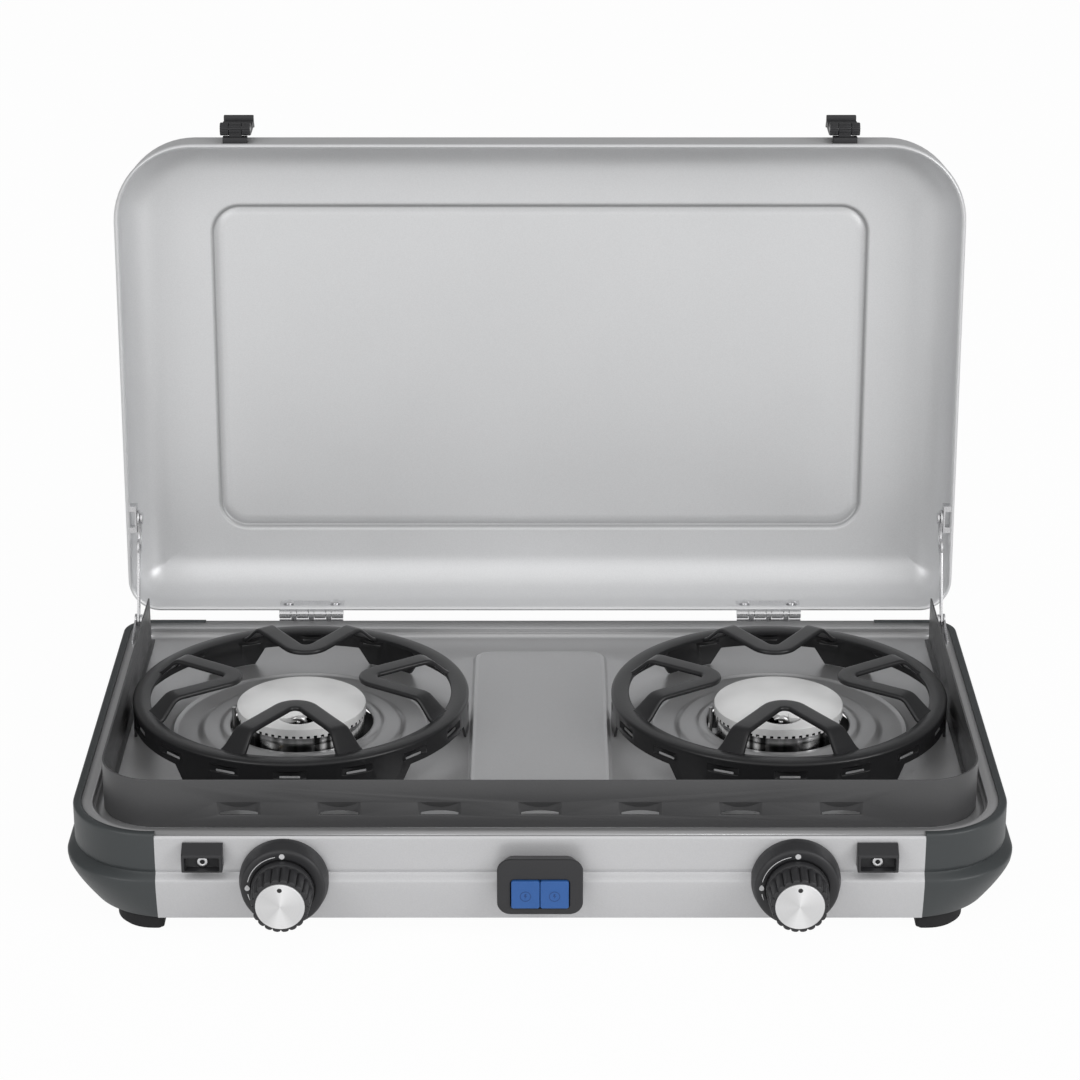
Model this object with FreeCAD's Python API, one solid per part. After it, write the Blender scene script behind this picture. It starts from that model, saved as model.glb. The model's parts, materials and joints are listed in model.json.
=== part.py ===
import FreeCAD, Part

"""Two-burner camping stove, as separate pieces in millimetres.

Frame: +X to the right, -Y to the front (controls), +Z up. Pieces are drawn with Y = 0 in the middle of the
body's depth, and moved on export so that the origin lies on the ground under the middle of the open stove,
from the knobs to the back of the lid. The lid stands open: its pieces are drawn closed and then swung open.
"""

import math
import os

V = FreeCAD.Vector
X_AXIS = V(1, 0, 0)
Y_AXIS = V(0, 1, 0)
Z_AXIS = V(0, 0, 1)
SIDES = {"left": -1, "right": 1}

# ---- body shell ----------------------------------------------------------------------------------
body_width = 500.0  # over the wide lower half
body_depth = 281.6  # over the upper half
rim_z = 58.0  # top of the deck flange
skirt_z = 9.0  # lower edge of the panels
crease_z = 34.0  # where the lower half stands out
crease_height = 3.0
side_bulge = 3.8  # the lower half stands out this far at the ends
front_bulge = 2.6  # and this far at the front
front_corner_r = 45.0
rear_corner_r = 16.0
skirt_tuck = 4.5  # the lower edge curls in by this much at the front
skirt_tuck_side = 12.0  # and at the ends
skirt_curl = 21.0  # over this height
skirt_steps = 3  # drawn in this many steps
skirt_power = 1.3  # above 1 it curls faster lower down
rim_round = 1.2
sheet = 0.9  # pressed steel
cap_wall = 2.4
cap_lip = 4.5  # the end cap's top edge round the deck
cap_proud = 0.5  # that edge stands above the deck flange
cap_reach = 51.0  # the end caps reach this far in over the front and back
tongue_length = 8.0
tongue_wall = 1.5

# ---- feet ----------------------------------------------------------------------------------------
foot_half = 13.0
foot_corner_r = 20.0  # the corner that follows the body's
foot_edge_r = 2.0  # the other corners
foot_inset_x = 40.5  # foot middle inside the body's widest line
foot_inset_y = 18.5  # and behind the front of the upper half
foot_sole = 1.4
foot_sole_inset = 1.5
foot_stem_r = 4.0
foot_stem = 4.4
pad_half = 16.0

# ---- deck ----------------------------------------------------------------------------------------
deck_drop = 5.5  # floor below the rim
side_flange = 6.3  # inside the end cap's lip
front_flange = 7.2
rear_flange = 12.2
deck_step_drop = 3.2  # the wall stops here at a narrow step
deck_step_width = 1.5
well_front_r = 36.0
well_rear_r = 8.0
burner_x = 132.4
burner_y = 2.6
dish_bead_r = 71.0
dish_bead = 1.2
dish_step_r = 57.0
dish_inner_r = 46.0
dish_rise = 1.8
hole_r = 39.5
collar_rise = 3.4
centre_panel_half = 38.5
centre_panel_half_depth = 104.0
centre_panel_r = 10.0
centre_panel_rise = 1.0

# ---- burner --------------------------------------------------------------------------------------
burner_cap_r = 35.7
burner_cap_top = 14.7  # edge of the cap above the deck floor
burner_cap_rim = 5.7
burner_cap_dome = 2.2
burner_cap_bore = 30.0
burner_cup_r = 34.6
burner_cup_height = 11.0
burner_wall = 2.0
port_count = 56
port_width = 1.8
port_height = 1.5
crescent_r = 12.5
crescent_y = -17.0
crescent_bite = 7.0
burner_neck_r = 12.0
tube_r = 9.0
tube_wall = 1.4
tube_z = 32.8
venturi_gap = 2.0  # air gap between the injector's tip and the tube
bracket_width = 30.0
bracket_thick = 2.0
bracket_half = 92.0
bracket_tab = 11.0
ignition_rod_r = 1.2
ceramic_r = 2.6
electrode_y = -23.0
electrode_tail = 6.0
thermocouple_r = 37.6
thermocouple_rod_r = 1.1
thermocouple_top = 12.0
sensor_strap_half = 3.5
sensor_strap = 1.5

# ---- gas line ------------------------------------------------------------------------------------
knob_x = 132.4
knob_z = 32.8
valve_r = 9.0
valve_length = 22.0
manifold_r = 4.0
manifold_bore = 2.8
manifold_drop = 13.0
manifold_overhang = 6.0  # past the left valve
inlet_inset = 29.0  # inside the end of the rear panel
inlet_r = 8.0
inlet_reach = 13.0  # thread standing out of the rear panel
inlet_nut_r = 10.0
inlet_nut = 4.0
injector_r = 4.0
injector_length = 7.0

# ---- pan support ---------------------------------------------------------------------------------
support_r = 92.8
ring_width = 9.0
ring_top = 21.6  # above the deck floor
support_sheet = 1.6
skirt_short = 12.0
leg_count = 6
window_top_deg = 17.0
window_foot_deg = 21.5
slit_count = 16
slit_width = 20.0
slit_height = 4.3
slit_bulge = 2.6
slit_wall = 0.9
slit_mouth = 1.4
slit_drop = 3.7
prong_rise = 10.0
prong_tip = 32.2
prong_arm = 10.5
prong_half_deg = 33.5
prong_tip_round = 14.0
prong_end_r = 71.0
prong_window_half = 19.8  # the window between the arms is no wider than this

# ---- windscreen ----------------------------------------------------------------------------------
screen_half = 230.6
screen_front_y = -121.6
screen_rear_y = 121.7
screen_height = 27.5
screen_sheet = 1.0
screen_corner_r = 30.0
screen_foot = 2.2
screen_foot_front = -58.0
louvre_pitch = 52.2
louvre_count = 3  # each side of the middle one
louvre_width = 25.0
louvre_height = 7.2
louvre_drop = 19.0  # slit's lower edge below the top edge
louvre_bulge = 3.8
louvre_mouth = 1.6  # height of the hood's open end
side_louvre_first = -38.0
side_louvres = 4
side_louvre_pitch = 42.0
side_louvre_bulge = 2.2  # clear of the pan supports

# ---- lid -----------------------------------------------------------------------------------------
lid_inset = 6.2  # inside the body's widest line
lid_depth = 277.1
lid_gap = 2.5  # closed lid's edge above the deck flange
lid_height = 38.0
lid_front_r = 45.0
lid_rear_r = 18.0
lid_edge_r = 14.0
lid_band = 4.0  # folded edge
lid_band_proud = 0.8
emboss_width = 383.0
emboss_depth = 198.0
emboss_rise = 2.2
emboss_r = 16.0
lid_open_deg = 93.75

# ---- hinges --------------------------------------------------------------------------------------
hinge_x = 136.3
hinge_width = 38.0
hinge_pin_r = 1.5
hinge_barrel_r = 2.7
hinge_pin_behind = 1.6  # pin axis behind the body
hinge_pin_above = 3.2  # and above the deck flange
hinge_leaf = 1.2
hinge_leaf_drop = 16.0
hinge_leaf_rise = 14.0
knuckle_gap = 0.3
knuckle_slim = 3.4  # base knuckles between the lid's
pin_clearance = 0.05
rivet_r = 2.2
rivet_head_r = 3.2
rivet_head = 1.3
rivet_x = 14.0
rivet_rise = 9.0

# ---- lid stays -----------------------------------------------------------------------------------
stay_inset = 7.2  # the bar's inner face inside the lid's end
stay_sheet = 1.2
stay_end_r = 3.8
stay_slot_wall = 2.6
slot_steps = 12  # the slot is drawn through this many steps of the lid
stay_pivot_in = 14.3  # base pivot in front of the body's rear
stay_pivot_above = 6.0  # above the deck flange
stud_r = 2.0
stud_clear = 0.4  # round the lid's stud in its slot
stud_head_r = 3.4
stud_head = 1.4
lug_sheet = 1.2
lug_foot_front = 22.0  # in front of the pivot
lug_foot = 2.0
lid_stud_along = 55.0  # forward from the lid's rear edge
lid_stud_up = 4.0  # above the lid's edge
bridge_length = 16.5
bridge_height = 7.4
bridge_foot = 3.5

# ---- latch clips and catches ---------------------------------------------------------------------
catch_inset = 25.0  # inside the end of the front panel
clip_width = 17.2
clip_pivot_out = 9.4  # pivot in front of the lid's skirt
clip_pivot_up = 9.5  # pivot above the lid's edge
clip_barrel_r = 3.6
clip_arm = 3.0
clip_pin_r = 1.25
clip_open_deg = 176.0
clip_bracket_width = 14.0
clip_knuckle = 7.0
clip_bracket_plate = 1.6
clip_bracket_up = 15.0
catch_width = 21.1
catch_top_drop = 4.0  # below the deck flange
catch_height = 13.6
catch_ledge_drop = 5.4  # underside of the ledge below the catch's top
catch_proud = 8.2
catch_recess = 5.4
catch_side = 1.6
catch_sill = 0.9
catch_screw_r = 3.2
catch_screw_head = 1.6
catch_screw_shank_r = 1.6
catch_screw_length = 9.0
hook_bite = 3.0
hook_thick = 2.6

# ---- knobs ---------------------------------------------------------------------------------------
bezel_r = 23.2
bezel_face_r = 21.6
bezel_height = 8.3
bezel_bore_r = 4.2
bezel_spigot_r = 12.0
bezel_spigot = 4.0  # behind the front panel's upper half
knob_base_r = 16.2
knob_top_r = 15.0
knob_length = 18.9
knob_gap = 0.5
scallops = 20
scallop_r = 2.1
scallop_depth = 1.0
knob_cap_r = 12.7
knob_cap_proud = 0.7
knob_cap_depth = 1.2
stem_r = 3.0
stem_clearance = 0.05
stem_in_valve = 12.0
stem_in_knob = 12.0

# ---- ignition ------------------------------------------------------------------------------------
housing_width = 45.0
housing_height = 32.4
housing_r = 7.0
housing_drop = 0.5  # centre below the crease
housing_proud = 8.5
housing_wall = 2.0
button_width = 14.7
button_height = 15.8
button_drop = 3.8  # button centre below the housing's
button_r = 1.2
button_gap = 0.3  # between the buttons and below them
button_margin = 1.1  # at their sides and above them
button_proud = 1.2
button_depth = 6.0
button_travel = 3.0
plunger_r = 3.0
plunger_clearance = 0.08
plunger_in_piezo = 1.0
piezo_r = 5.5
piezo_length = 20.0
lead_r = 1.0
lead_bend = 12.0

# ---- clearance between pieces that only rest on each other ---------------------------------------
seat = 0.3

# ---- derived -------------------------------------------------------------------------------------
half_low = body_width / 2
half_up = half_low - side_bulge
panel_half = half_low - cap_reach
foot_x = half_low - foot_inset_x
latch_x = panel_half - catch_inset
inlet_x = panel_half - inlet_inset
front_y = -body_depth / 2
rear_y = body_depth / 2
floor_z = rim_z - deck_drop
flange_under = rim_z - sheet
deck_under = floor_z - sheet
low_front_y = front_y - front_bulge
hinge_y = rear_y + hinge_pin_behind
hinge_z = rim_z + hinge_pin_above
lid_z = rim_z + lid_gap
lid_front_y = -lid_depth / 2
lid_rear_y = lid_depth / 2
lid_half = half_low - lid_inset
support_top = floor_z + ring_top
stay_y = rear_y - stay_pivot_in
stay_z = rim_z + stay_pivot_above
stay_x = lid_half - stay_inset
stay_lug_x = stay_x + stay_sheet + seat
lid_stud_y = lid_rear_y - lid_stud_along
lid_stud_z = lid_z + lid_stud_up
manifold_z = knob_z - manifold_drop
housing_z = crease_z - housing_drop
button_z = housing_z - button_drop
clip_y = lid_front_y - clip_pivot_out
clip_z = lid_z + clip_pivot_up
catch_top = rim_z - catch_top_drop
catch_face_y = front_y - catch_proud
ledge_z = catch_top - catch_ledge_drop
catch_floor_y = catch_face_y + catch_recess
bezel_front_y = low_front_y - bezel_height
bezel_back_y = front_y + sheet + bezel_spigot
housing_front_y = low_front_y - housing_proud
valve_front_y = bezel_back_y
valve_back_y = valve_front_y + valve_length
cup_base_z = floor_z + burner_cap_top - burner_cap_rim - burner_cup_height


# ---- drawing helpers -----------------------------------------------------------------------------
def box(x0, x1, y0, y1, z0, z1):
    """A block between two corners."""
    return Part.makeBox(x1 - x0, y1 - y0, z1 - z0, V(x0, y0, z0))


def rod(point, axis, radius, length):
    """A round bar from a point along an axis."""
    return Part.makeCylinder(radius, length, V(*point), axis)


def cone(point, axis, r0, r1, length):
    """A tapered round bar."""
    return Part.makeCone(r0, r1, length, V(*point), axis)


def corner_arc(before, corner, after, radius):
    """Start, middle and end of the arc that rounds a corner."""
    a = (before - corner).normalize()
    b = (after - corner).normalize()
    half = a.getAngle(b) / 2
    along = radius / math.tan(half)
    start = corner + a * along
    end = corner + b * along
    centre = corner + (a + b).normalize() * (radius / math.sin(half))
    middle = centre + (corner - centre).normalize() * radius
    return start, middle, end


def rounded_wire(points, radii):
    """A closed wire through points, each corner rounded by its radius (0 keeps it sharp)."""
    corners = []
    count = len(points)
    for i, (point, radius) in enumerate(zip(points, radii)):
        if radius > 0:
            corners.append(corner_arc(points[i - 1], point, points[(i + 1) % count], radius))
        else:
            corners.append((point, None, point))
    edges = []
    for i, (start, middle, end) in enumerate(corners):
        if middle is not None:
            edges.append(Part.Arc(start, middle, end).toShape())
        following = corners[(i + 1) % count][0]
        if (following - end).Length > 1e-6:
            edges.append(Part.makeLine(end, following))
    return Part.Wire(edges)


def prism(points, radii, direction):
    """A solid swept straight from a rounded outline."""
    return Part.Face(rounded_wire(points, radii)).extrude(direction)


def side_prism(outline, x0, x1, radii=None):
    """A solid along X from an outline of (y, z) points."""
    points = [V(x0, y, z) for y, z in outline]
    return prism(points, radii or [0] * len(points), X_AXIS * (x1 - x0))


def rect_wire(half, y0, y1, r_front, r_rear, z):
    """A rectangle symmetric about X = 0, with its own front and rear corner radii."""
    points = [V(-half, y0, z), V(half, y0, z), V(half, y1, z), V(-half, y1, z)]
    return rounded_wire(points, [r_front, r_front, r_rear, r_rear])


def rect_block(half, y0, y1, r_front, r_rear, z0, z1):
    """An upright block on such a rectangle."""
    return Part.Face(rect_wire(half, y0, y1, r_front, r_rear, z0)).extrude(V(0, 0, z1 - z0))


def front_plate(x, z, half_w, half_h, radius, y0, y1):
    """A rounded plate that faces the front, centred on (x, z)."""
    points = [V(x - half_w, y0, z - half_h), V(x + half_w, y0, z - half_h),
              V(x + half_w, y0, z + half_h), V(x - half_w, y0, z + half_h)]
    return prism(points, [radius] * 4, V(0, y1 - y0, 0))


def join(shapes):
    """One solid from touching shapes."""
    whole = shapes[0]
    if len(shapes) > 1:
        whole = shapes[0].fuse(shapes[1:])
    return whole.removeSplitter()


def revolve_z(profile, x, y):
    """A turned solid from (radius, z) points about a vertical axis."""
    wire = Part.makePolygon([V(x + r, y, z) for r, z in profile] + [V(x + profile[0][0], y, profile[0][1])])
    return Part.Face(wire).revolve(V(x, y, 0), Z_AXIS, 360)


def mirror_x(shape):
    """The same shape on the other side of the body."""
    return shape.mirror(V(0, 0, 0), X_AXIS)


def mirrored(shape, side):
    """A shape drawn on the right-hand side, placed on the given side."""
    return mirror_x(shape) if side < 0 else shape


def open_lid(shape):
    """Swings a piece drawn on the closed lid to where it stands open."""
    return shape.rotate(V(0, hinge_y, hinge_z), X_AXIS, -lid_open_deg)


def turned(y, z, degrees):
    """A (y, z) point of the closed lid after it opens by an angle about the hinge."""
    a = math.radians(degrees)
    dy = y - hinge_y
    dz = z - hinge_z
    return hinge_y + dy * math.cos(a) + dz * math.sin(a), hinge_z - dy * math.sin(a) + dz * math.cos(a)


def middle_y():
    """Y halfway between the knobs' faces and the back of the open lid."""
    knob_front = bezel_front_y - knob_gap - knob_length - knob_cap_proud
    lid_back = turned(lid_front_y + lid_edge_r, lid_z + lid_height, lid_open_deg)[0]
    return (knob_front + lid_back) / 2


def export(name, *solids):
    """Writes one node, as separate solids where it has several."""
    shape = solids[0] if len(solids) == 1 else Part.makeCompound(list(solids))
    shape = shape.translated(V(0, -middle_y(), 0))
    for solid in shape.Solids:
        if not solid.isValid():
            print("check", name)
    shape.exportStep(os.path.join("parts", name + ".step"))


# ---- body shell ----------------------------------------------------------------------------------
def envelope(inset, top):
    """The space inside the body's outer face, brought in by a wall, up to a height."""
    sections = []
    for step in range(skirt_steps + 1):
        part = step / skirt_steps
        sections.append((skirt_z + skirt_curl * part, (1 - part) ** skirt_power))
    sections.append((crease_z - crease_height / 2, 0.0))
    wires = []
    for z, curl in sections:
        half = half_low - skirt_tuck_side * curl - inset
        wires.append(rect_wire(half, low_front_y + skirt_tuck * curl + inset, rear_y - inset,
                               front_corner_r - inset, rear_corner_r - inset, z))
    for z in (crease_z + crease_height / 2, top):
        wires.append(rect_wire(half_up - inset, front_y + inset, rear_y - inset,
                               front_corner_r - inset, rear_corner_r - inset, z))
    return Part.makeLoft(wires, True, True)


def inner_plan(inset, z0, z1):
    """A block on the upper half's plan, brought in by an inset."""
    return rect_block(half_up - inset, front_y + inset, rear_y - inset,
                      front_corner_r - inset, rear_corner_r - inset, z0, z1)


def panel(half, front):
    """A bent sheet panel with its top edge folded in under the deck."""
    shell = envelope(0, flange_under).cut(envelope(sheet, flange_under))
    fold = inner_plan(0, flange_under - sheet, flange_under).cut(
        well(-sheet - seat, flange_under - sheet, flange_under))
    y0, y1 = (low_front_y - 1, 0) if front else (0, rear_y + 1)
    return join([shell, fold]).common(box(-half, half, y0, y1, 0, rim_z))


def panel_openings(x, z, radius):
    """A round hole through the front panel."""
    return rod((x, low_front_y - 1, z), Y_AXIS, radius, front_bulge + sheet + 2)


def front_panel():
    """The steel front, pierced for the controls and the catch screws."""
    shape = panel(panel_half, True)
    cuts = [panel_openings(side * knob_x, knob_z, bezel_spigot_r) for side in SIDES.values()]
    cuts += [panel_openings(side * latch_x, catch_screw_z(), catch_screw_shank_r) for side in SIDES.values()]
    cuts.append(front_plate(0, housing_z, housing_width / 2 - 2 * housing_wall,
                            housing_height / 2 - 2 * housing_wall, housing_r - 2 * housing_wall,
                            low_front_y - 1, front_y + 2 * sheet))
    return shape.cut(Part.makeCompound(cuts))


def rear_panel():
    """The steel back, with holes for the gas inlet and the hinge rivets."""
    inside = rear_y - 2 * sheet
    holes = [rod((inlet_x, inside, manifold_z), Y_AXIS, inlet_r, 4 * sheet)]
    holes += [rod((x, inside, base_rivet_z()), Y_AXIS, rivet_r, 4 * sheet) for x in rivet_places()]
    return panel(panel_half, False).cut(Part.makeCompound(holes))


def end_cap():
    """The right-hand plastic end, wrapped round both corners."""
    top = rim_z + cap_proud
    ledge_top = flange_under
    ledge_base = ledge_top - cap_wall
    body = envelope(0, top)
    hollow = envelope(cap_wall, ledge_base)
    rebate = inner_plan(cap_lip, ledge_top, top + 1)
    throat = well(-sheet - seat, ledge_base - 1, top)
    shell = body.cut(hollow).cut(rebate).cut(throat)
    front_part = box(panel_half, half_low + 1, low_front_y - 1, 0, 0, top + 1)
    rear_part = box(panel_half, half_low + 1, 0, rear_y + 1, 0, top + 1)
    shell = shell.common(front_part.fuse(rear_part))
    tongue = envelope(sheet, ledge_base).cut(envelope(sheet + tongue_wall, ledge_base))
    front_tongue = tongue.common(box(panel_half - tongue_length, panel_half + cap_wall,
                                     low_front_y, 0, skirt_z, ledge_base))
    rear_tongue = tongue.common(box(panel_half - tongue_length, panel_half + cap_wall,
                                    0, rear_y, skirt_z, ledge_base))
    pads = [envelope(sheet, ledge_base).common(
        box(foot_x - pad_half, half_low, y - pad_half, y + pad_half, skirt_z, skirt_z + cap_wall))
        for y in foot_rows()]
    shape = join([shell, front_tongue, rear_tongue] + pads)
    stems = [rod((foot_x, y, skirt_z - 1), Z_AXIS, foot_stem_r, cap_wall + 2) for y in foot_rows()]
    return shape.cut(Part.makeCompound(stems))


def foot_rows():
    """Y of the front and rear feet."""
    return front_y + foot_inset_y, rear_y - foot_inset_y


def foot_block(inset, z0, z1):
    """The front right foot's outline about its own middle, brought in by an inset."""
    half = foot_half - inset
    points = [V(-half, -half, z0), V(half, -half, z0), V(half, half, z0), V(-half, half, z0)]
    return prism(points, [foot_edge_r, foot_corner_r - inset, foot_edge_r, foot_edge_r], V(0, 0, z1 - z0))


def feet():
    """Four rubber feet, each with a stem pushed through the end cap."""
    pieces = []
    for side in SIDES.values():
        for y in foot_rows():
            pad = foot_block(0, foot_sole, skirt_z)
            sole = foot_block(foot_sole_inset, 0, foot_sole)
            stem = rod((0, 0, skirt_z), Z_AXIS, foot_stem_r, foot_stem)
            foot = join([pad, sole, stem])
            if side < 0:
                foot = mirror_x(foot)
            if y > 0:
                foot = foot.mirror(V(0, 0, 0), Y_AXIS)
            pieces.append(foot.translated(V(side * foot_x, y, 0)))
    return pieces


# ---- deck ----------------------------------------------------------------------------------------
def well(inset, z0, z1):
    """The deck's well on plan, brought in by an inset."""
    return rect_block(half_up - cap_lip - side_flange - inset, front_y + front_flange + inset,
                      rear_y - rear_flange - inset, well_front_r - inset, well_rear_r - inset, z0, z1)


def deck_tray(wall, top_z, floor_at):
    """The stepped well, grown by the sheet's wall, from its floor to its top."""
    step_z = top_z - deck_step_drop
    return join([well(-wall, step_z, top_z), well(deck_step_width - wall, floor_at, step_z)])


def dish_profile(z):
    """The pressed rings round a burner, as (radius, z) points of the sheet's upper face."""
    half_bead = 1.6
    return [
        (dish_bead_r + half_bead, z), (dish_bead_r + half_bead / 2, z + dish_bead),
        (dish_bead_r - half_bead / 2, z + dish_bead), (dish_bead_r - half_bead, z),
        (dish_step_r, z), (dish_step_r - dish_rise, z + dish_rise),
        (dish_inner_r, z + dish_rise), (dish_inner_r - dish_rise, z + collar_rise),
        (hole_r, z + collar_rise),
    ]


def dish(x):
    """The pressed sheet of one burner's dish, out to the bead."""
    upper = dish_profile(floor_z)
    lower = [(r, z - sheet) for r, z in reversed(upper)]
    return revolve_z(upper + lower, x, burner_y)


def deck():
    """The pressed steel deck: flange, stepped walls, dishes and the raised panel between the burners."""
    plate = inner_plan(cap_lip, flange_under, rim_z)
    front_strip = rect_block(panel_half, front_y + rim_round, 0, 0, 0, flange_under, rim_z)
    rear_strip = rect_block(panel_half, 0, rear_y - rim_round, 0, 0, flange_under, rim_z)
    tub = deck_tray(0, rim_z, floor_z)
    pan = deck_tray(sheet, flange_under, deck_under)
    shape = join([plate, front_strip, rear_strip, pan]).cut(tub)
    holes = [rod((side * burner_x, burner_y, deck_under - 1), Z_AXIS, dish_bead_r + 1.6, 3 * sheet + 1)
             for side in SIDES.values()]
    raised = rect_block(centre_panel_half, -centre_panel_half_depth, centre_panel_half_depth, centre_panel_r,
                        centre_panel_r, deck_under, floor_z + centre_panel_rise)
    hollow = rect_block(centre_panel_half - sheet, sheet - centre_panel_half_depth,
                        centre_panel_half_depth - sheet, centre_panel_r - sheet, centre_panel_r - sheet,
                        deck_under, floor_z + centre_panel_rise - sheet)
    shape = shape.cut(Part.makeCompound(holes))
    shape = join([shape, raised]).cut(hollow)
    return join([shape] + [dish(side * burner_x) for side in SIDES.values()])


# ---- burners -------------------------------------------------------------------------------------
def burner_cup(x):
    """The burner's cup with its neck."""
    z0 = cup_base_z
    z1 = z0 + burner_cup_height
    cup = rod((x, burner_y, z0), Z_AXIS, burner_cup_r, burner_cup_height)
    cup = cup.cut(rod((x, burner_y, z0 + burner_wall), Z_AXIS, burner_cup_r - burner_wall,
                      burner_cup_height))
    neck = rod((x, burner_y, tube_z + tube_r), Z_AXIS, burner_neck_r, z0 - tube_z - tube_r)
    bore = rod((x, burner_y, tube_z), Z_AXIS, burner_neck_r - burner_wall, z1 - tube_z)
    seat_ring = rod((x, burner_y, z1), Z_AXIS, burner_cap_bore - seat, burner_wall)
    seat_ring = seat_ring.cut(rod((x, burner_y, z1), Z_AXIS, burner_cap_bore - burner_wall, burner_wall))
    rib = rod((x, burner_y, z0 + burner_wall), Z_AXIS, burner_cup_r, z1 - z0 - burner_wall)
    rib = rib.cut(rod((x, burner_y, z0), Z_AXIS, burner_cap_bore - burner_wall, burner_cup_height + 1))
    electrode_hole = rod((x, burner_y + electrode_y, z0 - 1), Z_AXIS, ceramic_r, burner_cup_height)
    return join([cup, neck, rib, seat_ring]).cut(bore).cut(electrode_hole)


def crescent(x, side):
    """The opening in a cap over the electrode: a disc with a bite taken out of it."""
    z0 = floor_z
    disc = rod((x, burner_y + crescent_y, z0), Z_AXIS, crescent_r, 2 * burner_cap_top)
    bite = rod((x + side * crescent_bite, burner_y + crescent_y + crescent_bite, z0), Z_AXIS,
               crescent_r, 2 * burner_cap_top)
    return disc.cut(bite)


def burner_cap(x, side):
    """The ported cap, a shallow dome on a short rim."""
    z1 = floor_z + burner_cap_top
    z0 = z1 - burner_cap_rim
    rise = burner_cap_dome
    dome_r = (burner_cap_r ** 2 + rise ** 2) / (2 * rise)
    rim = rod((x, burner_y, z0), Z_AXIS, burner_cap_r, burner_cap_rim)
    ball = Part.makeSphere(dome_r, V(x, burner_y, z1 + rise - dome_r))
    crown = ball.common(rod((x, burner_y, z1), Z_AXIS, burner_cap_r, rise + 1))
    hollow = rod((x, burner_y, z0), Z_AXIS, burner_cap_bore, burner_cap_rim - burner_wall)
    ports = []
    for i in range(port_count):
        slot = box(x + burner_cap_bore - 1, x + burner_cap_r + 1, burner_y - port_width / 2,
                   burner_y + port_width / 2, z0, z0 + port_height)
        ports.append(slot.rotate(V(x, burner_y, 0), Z_AXIS, 360 * (i + 0.5) / port_count))
    return join([rim, crown]).cut(hollow).cut(Part.makeCompound(ports)).cut(crescent(x, side))


def venturi(x):
    """The mixing tube from the injector to the burner's neck."""
    y0 = valve_back_y + injector_length + venturi_gap
    tube = rod((x, y0, tube_z), Y_AXIS, tube_r, burner_y + burner_neck_r - y0)
    neck = rod((x, burner_y, tube_z), Z_AXIS, burner_neck_r, tube_r)
    inside = rod((x, y0, tube_z), Y_AXIS, tube_r - tube_wall, burner_y + burner_neck_r - tube_wall - y0)
    riser = rod((x, burner_y, tube_z), Z_AXIS, tube_r - tube_wall, tube_r)
    mouth = cone((x, y0, tube_z), Y_AXIS, tube_r - 0.4, tube_r - tube_wall, 3)
    return join([tube, neck]).cut(inside).cut(riser).cut(mouth)


def burner_bracket(x):
    """The strap under the deck that carries a burner, with both ends turned up to the deck."""
    z1 = cup_base_z
    z0 = z1 - bracket_thick
    half_w = bracket_width / 2
    strap = box(x - half_w, x + half_w, burner_y - bracket_half, burner_y + bracket_half, z0, z1)
    ends = []
    for end in (-1, 1):
        y = burner_y + end * bracket_half
        inner = y - end * bracket_thick
        post = box(x - half_w, x + half_w, min(y, inner), max(y, inner), z0, deck_under)
        outer = y + end * bracket_tab
        pad = box(x - half_w, x + half_w, min(y, outer), max(y, outer),
                  deck_under - bracket_thick, deck_under)
        ends += [post, pad]
    hole = rod((x, burner_y, z0 - 1), Z_AXIS, burner_neck_r, bracket_thick + 2)
    wire_hole = rod((x, burner_y + electrode_y, z0 - 1), Z_AXIS, ceramic_r, bracket_thick + 2)
    return join([strap] + ends).cut(hole).cut(wire_hole)


def electrode(x):
    """The ceramic spark electrode with its bare tip under the cap's opening."""
    y = burner_y + electrode_y
    z0 = cup_base_z - bracket_thick - electrode_tail
    top = floor_z + burner_cap_top - burner_cap_rim
    ceramic = rod((x, y, z0), Z_AXIS, ceramic_r, top - 3 - z0)
    wire = rod((x, y, top - 3), Z_AXIS, ignition_rod_r, burner_cap_rim + 2)
    tip = Part.makeSphere(ignition_rod_r * 1.4, V(x, y, top - 3 + burner_cap_rim + 2))
    return join([ceramic, wire, tip])


def thermocouple(x):
    """The flame sensor beside the burner: a rod on a strap foot that sits on the bracket."""
    px = x - thermocouple_r
    z0 = cup_base_z - bracket_thick
    stem = rod((px, burner_y, z0), Z_AXIS, thermocouple_rod_r, floor_z + thermocouple_top - z0)
    foot = box(px - sensor_strap_half, x - bracket_width / 2, burner_y - sensor_strap_half,
               burner_y + sensor_strap_half, z0, z0 + sensor_strap)
    return join([foot, stem])


# ---- gas line ------------------------------------------------------------------------------------
def valve(x):
    """The valve body: a turned barrel with a saddle over the manifold."""
    barrel = rod((x, valve_front_y, knob_z), Y_AXIS, valve_r, valve_length)
    mid = valve_front_y + valve_length / 2
    saddle = box(x - valve_r, x + valve_r, mid - manifold_r - 2, mid + manifold_r + 2,
                 knob_z - manifold_drop - manifold_r - 2, knob_z)
    bore = rod((x, valve_front_y - 1, knob_z), Y_AXIS, stem_r + stem_clearance, stem_in_valve + 1)
    duct = rod((x - valve_r - 1, mid, knob_z - manifold_drop), X_AXIS, manifold_r, 2 * valve_r + 2)
    return join([barrel, saddle]).cut(bore).cut(duct)


def injector(x):
    """The brass jet at the back of a valve."""
    hexagon = rod((x, valve_back_y, knob_z), Y_AXIS, injector_r, injector_length * 0.6)
    tip = cone((x, valve_back_y + injector_length * 0.6, knob_z), Y_AXIS, injector_r * 0.8,
               injector_r * 0.4, injector_length * 0.4)
    return join([hexagon, tip])


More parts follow.
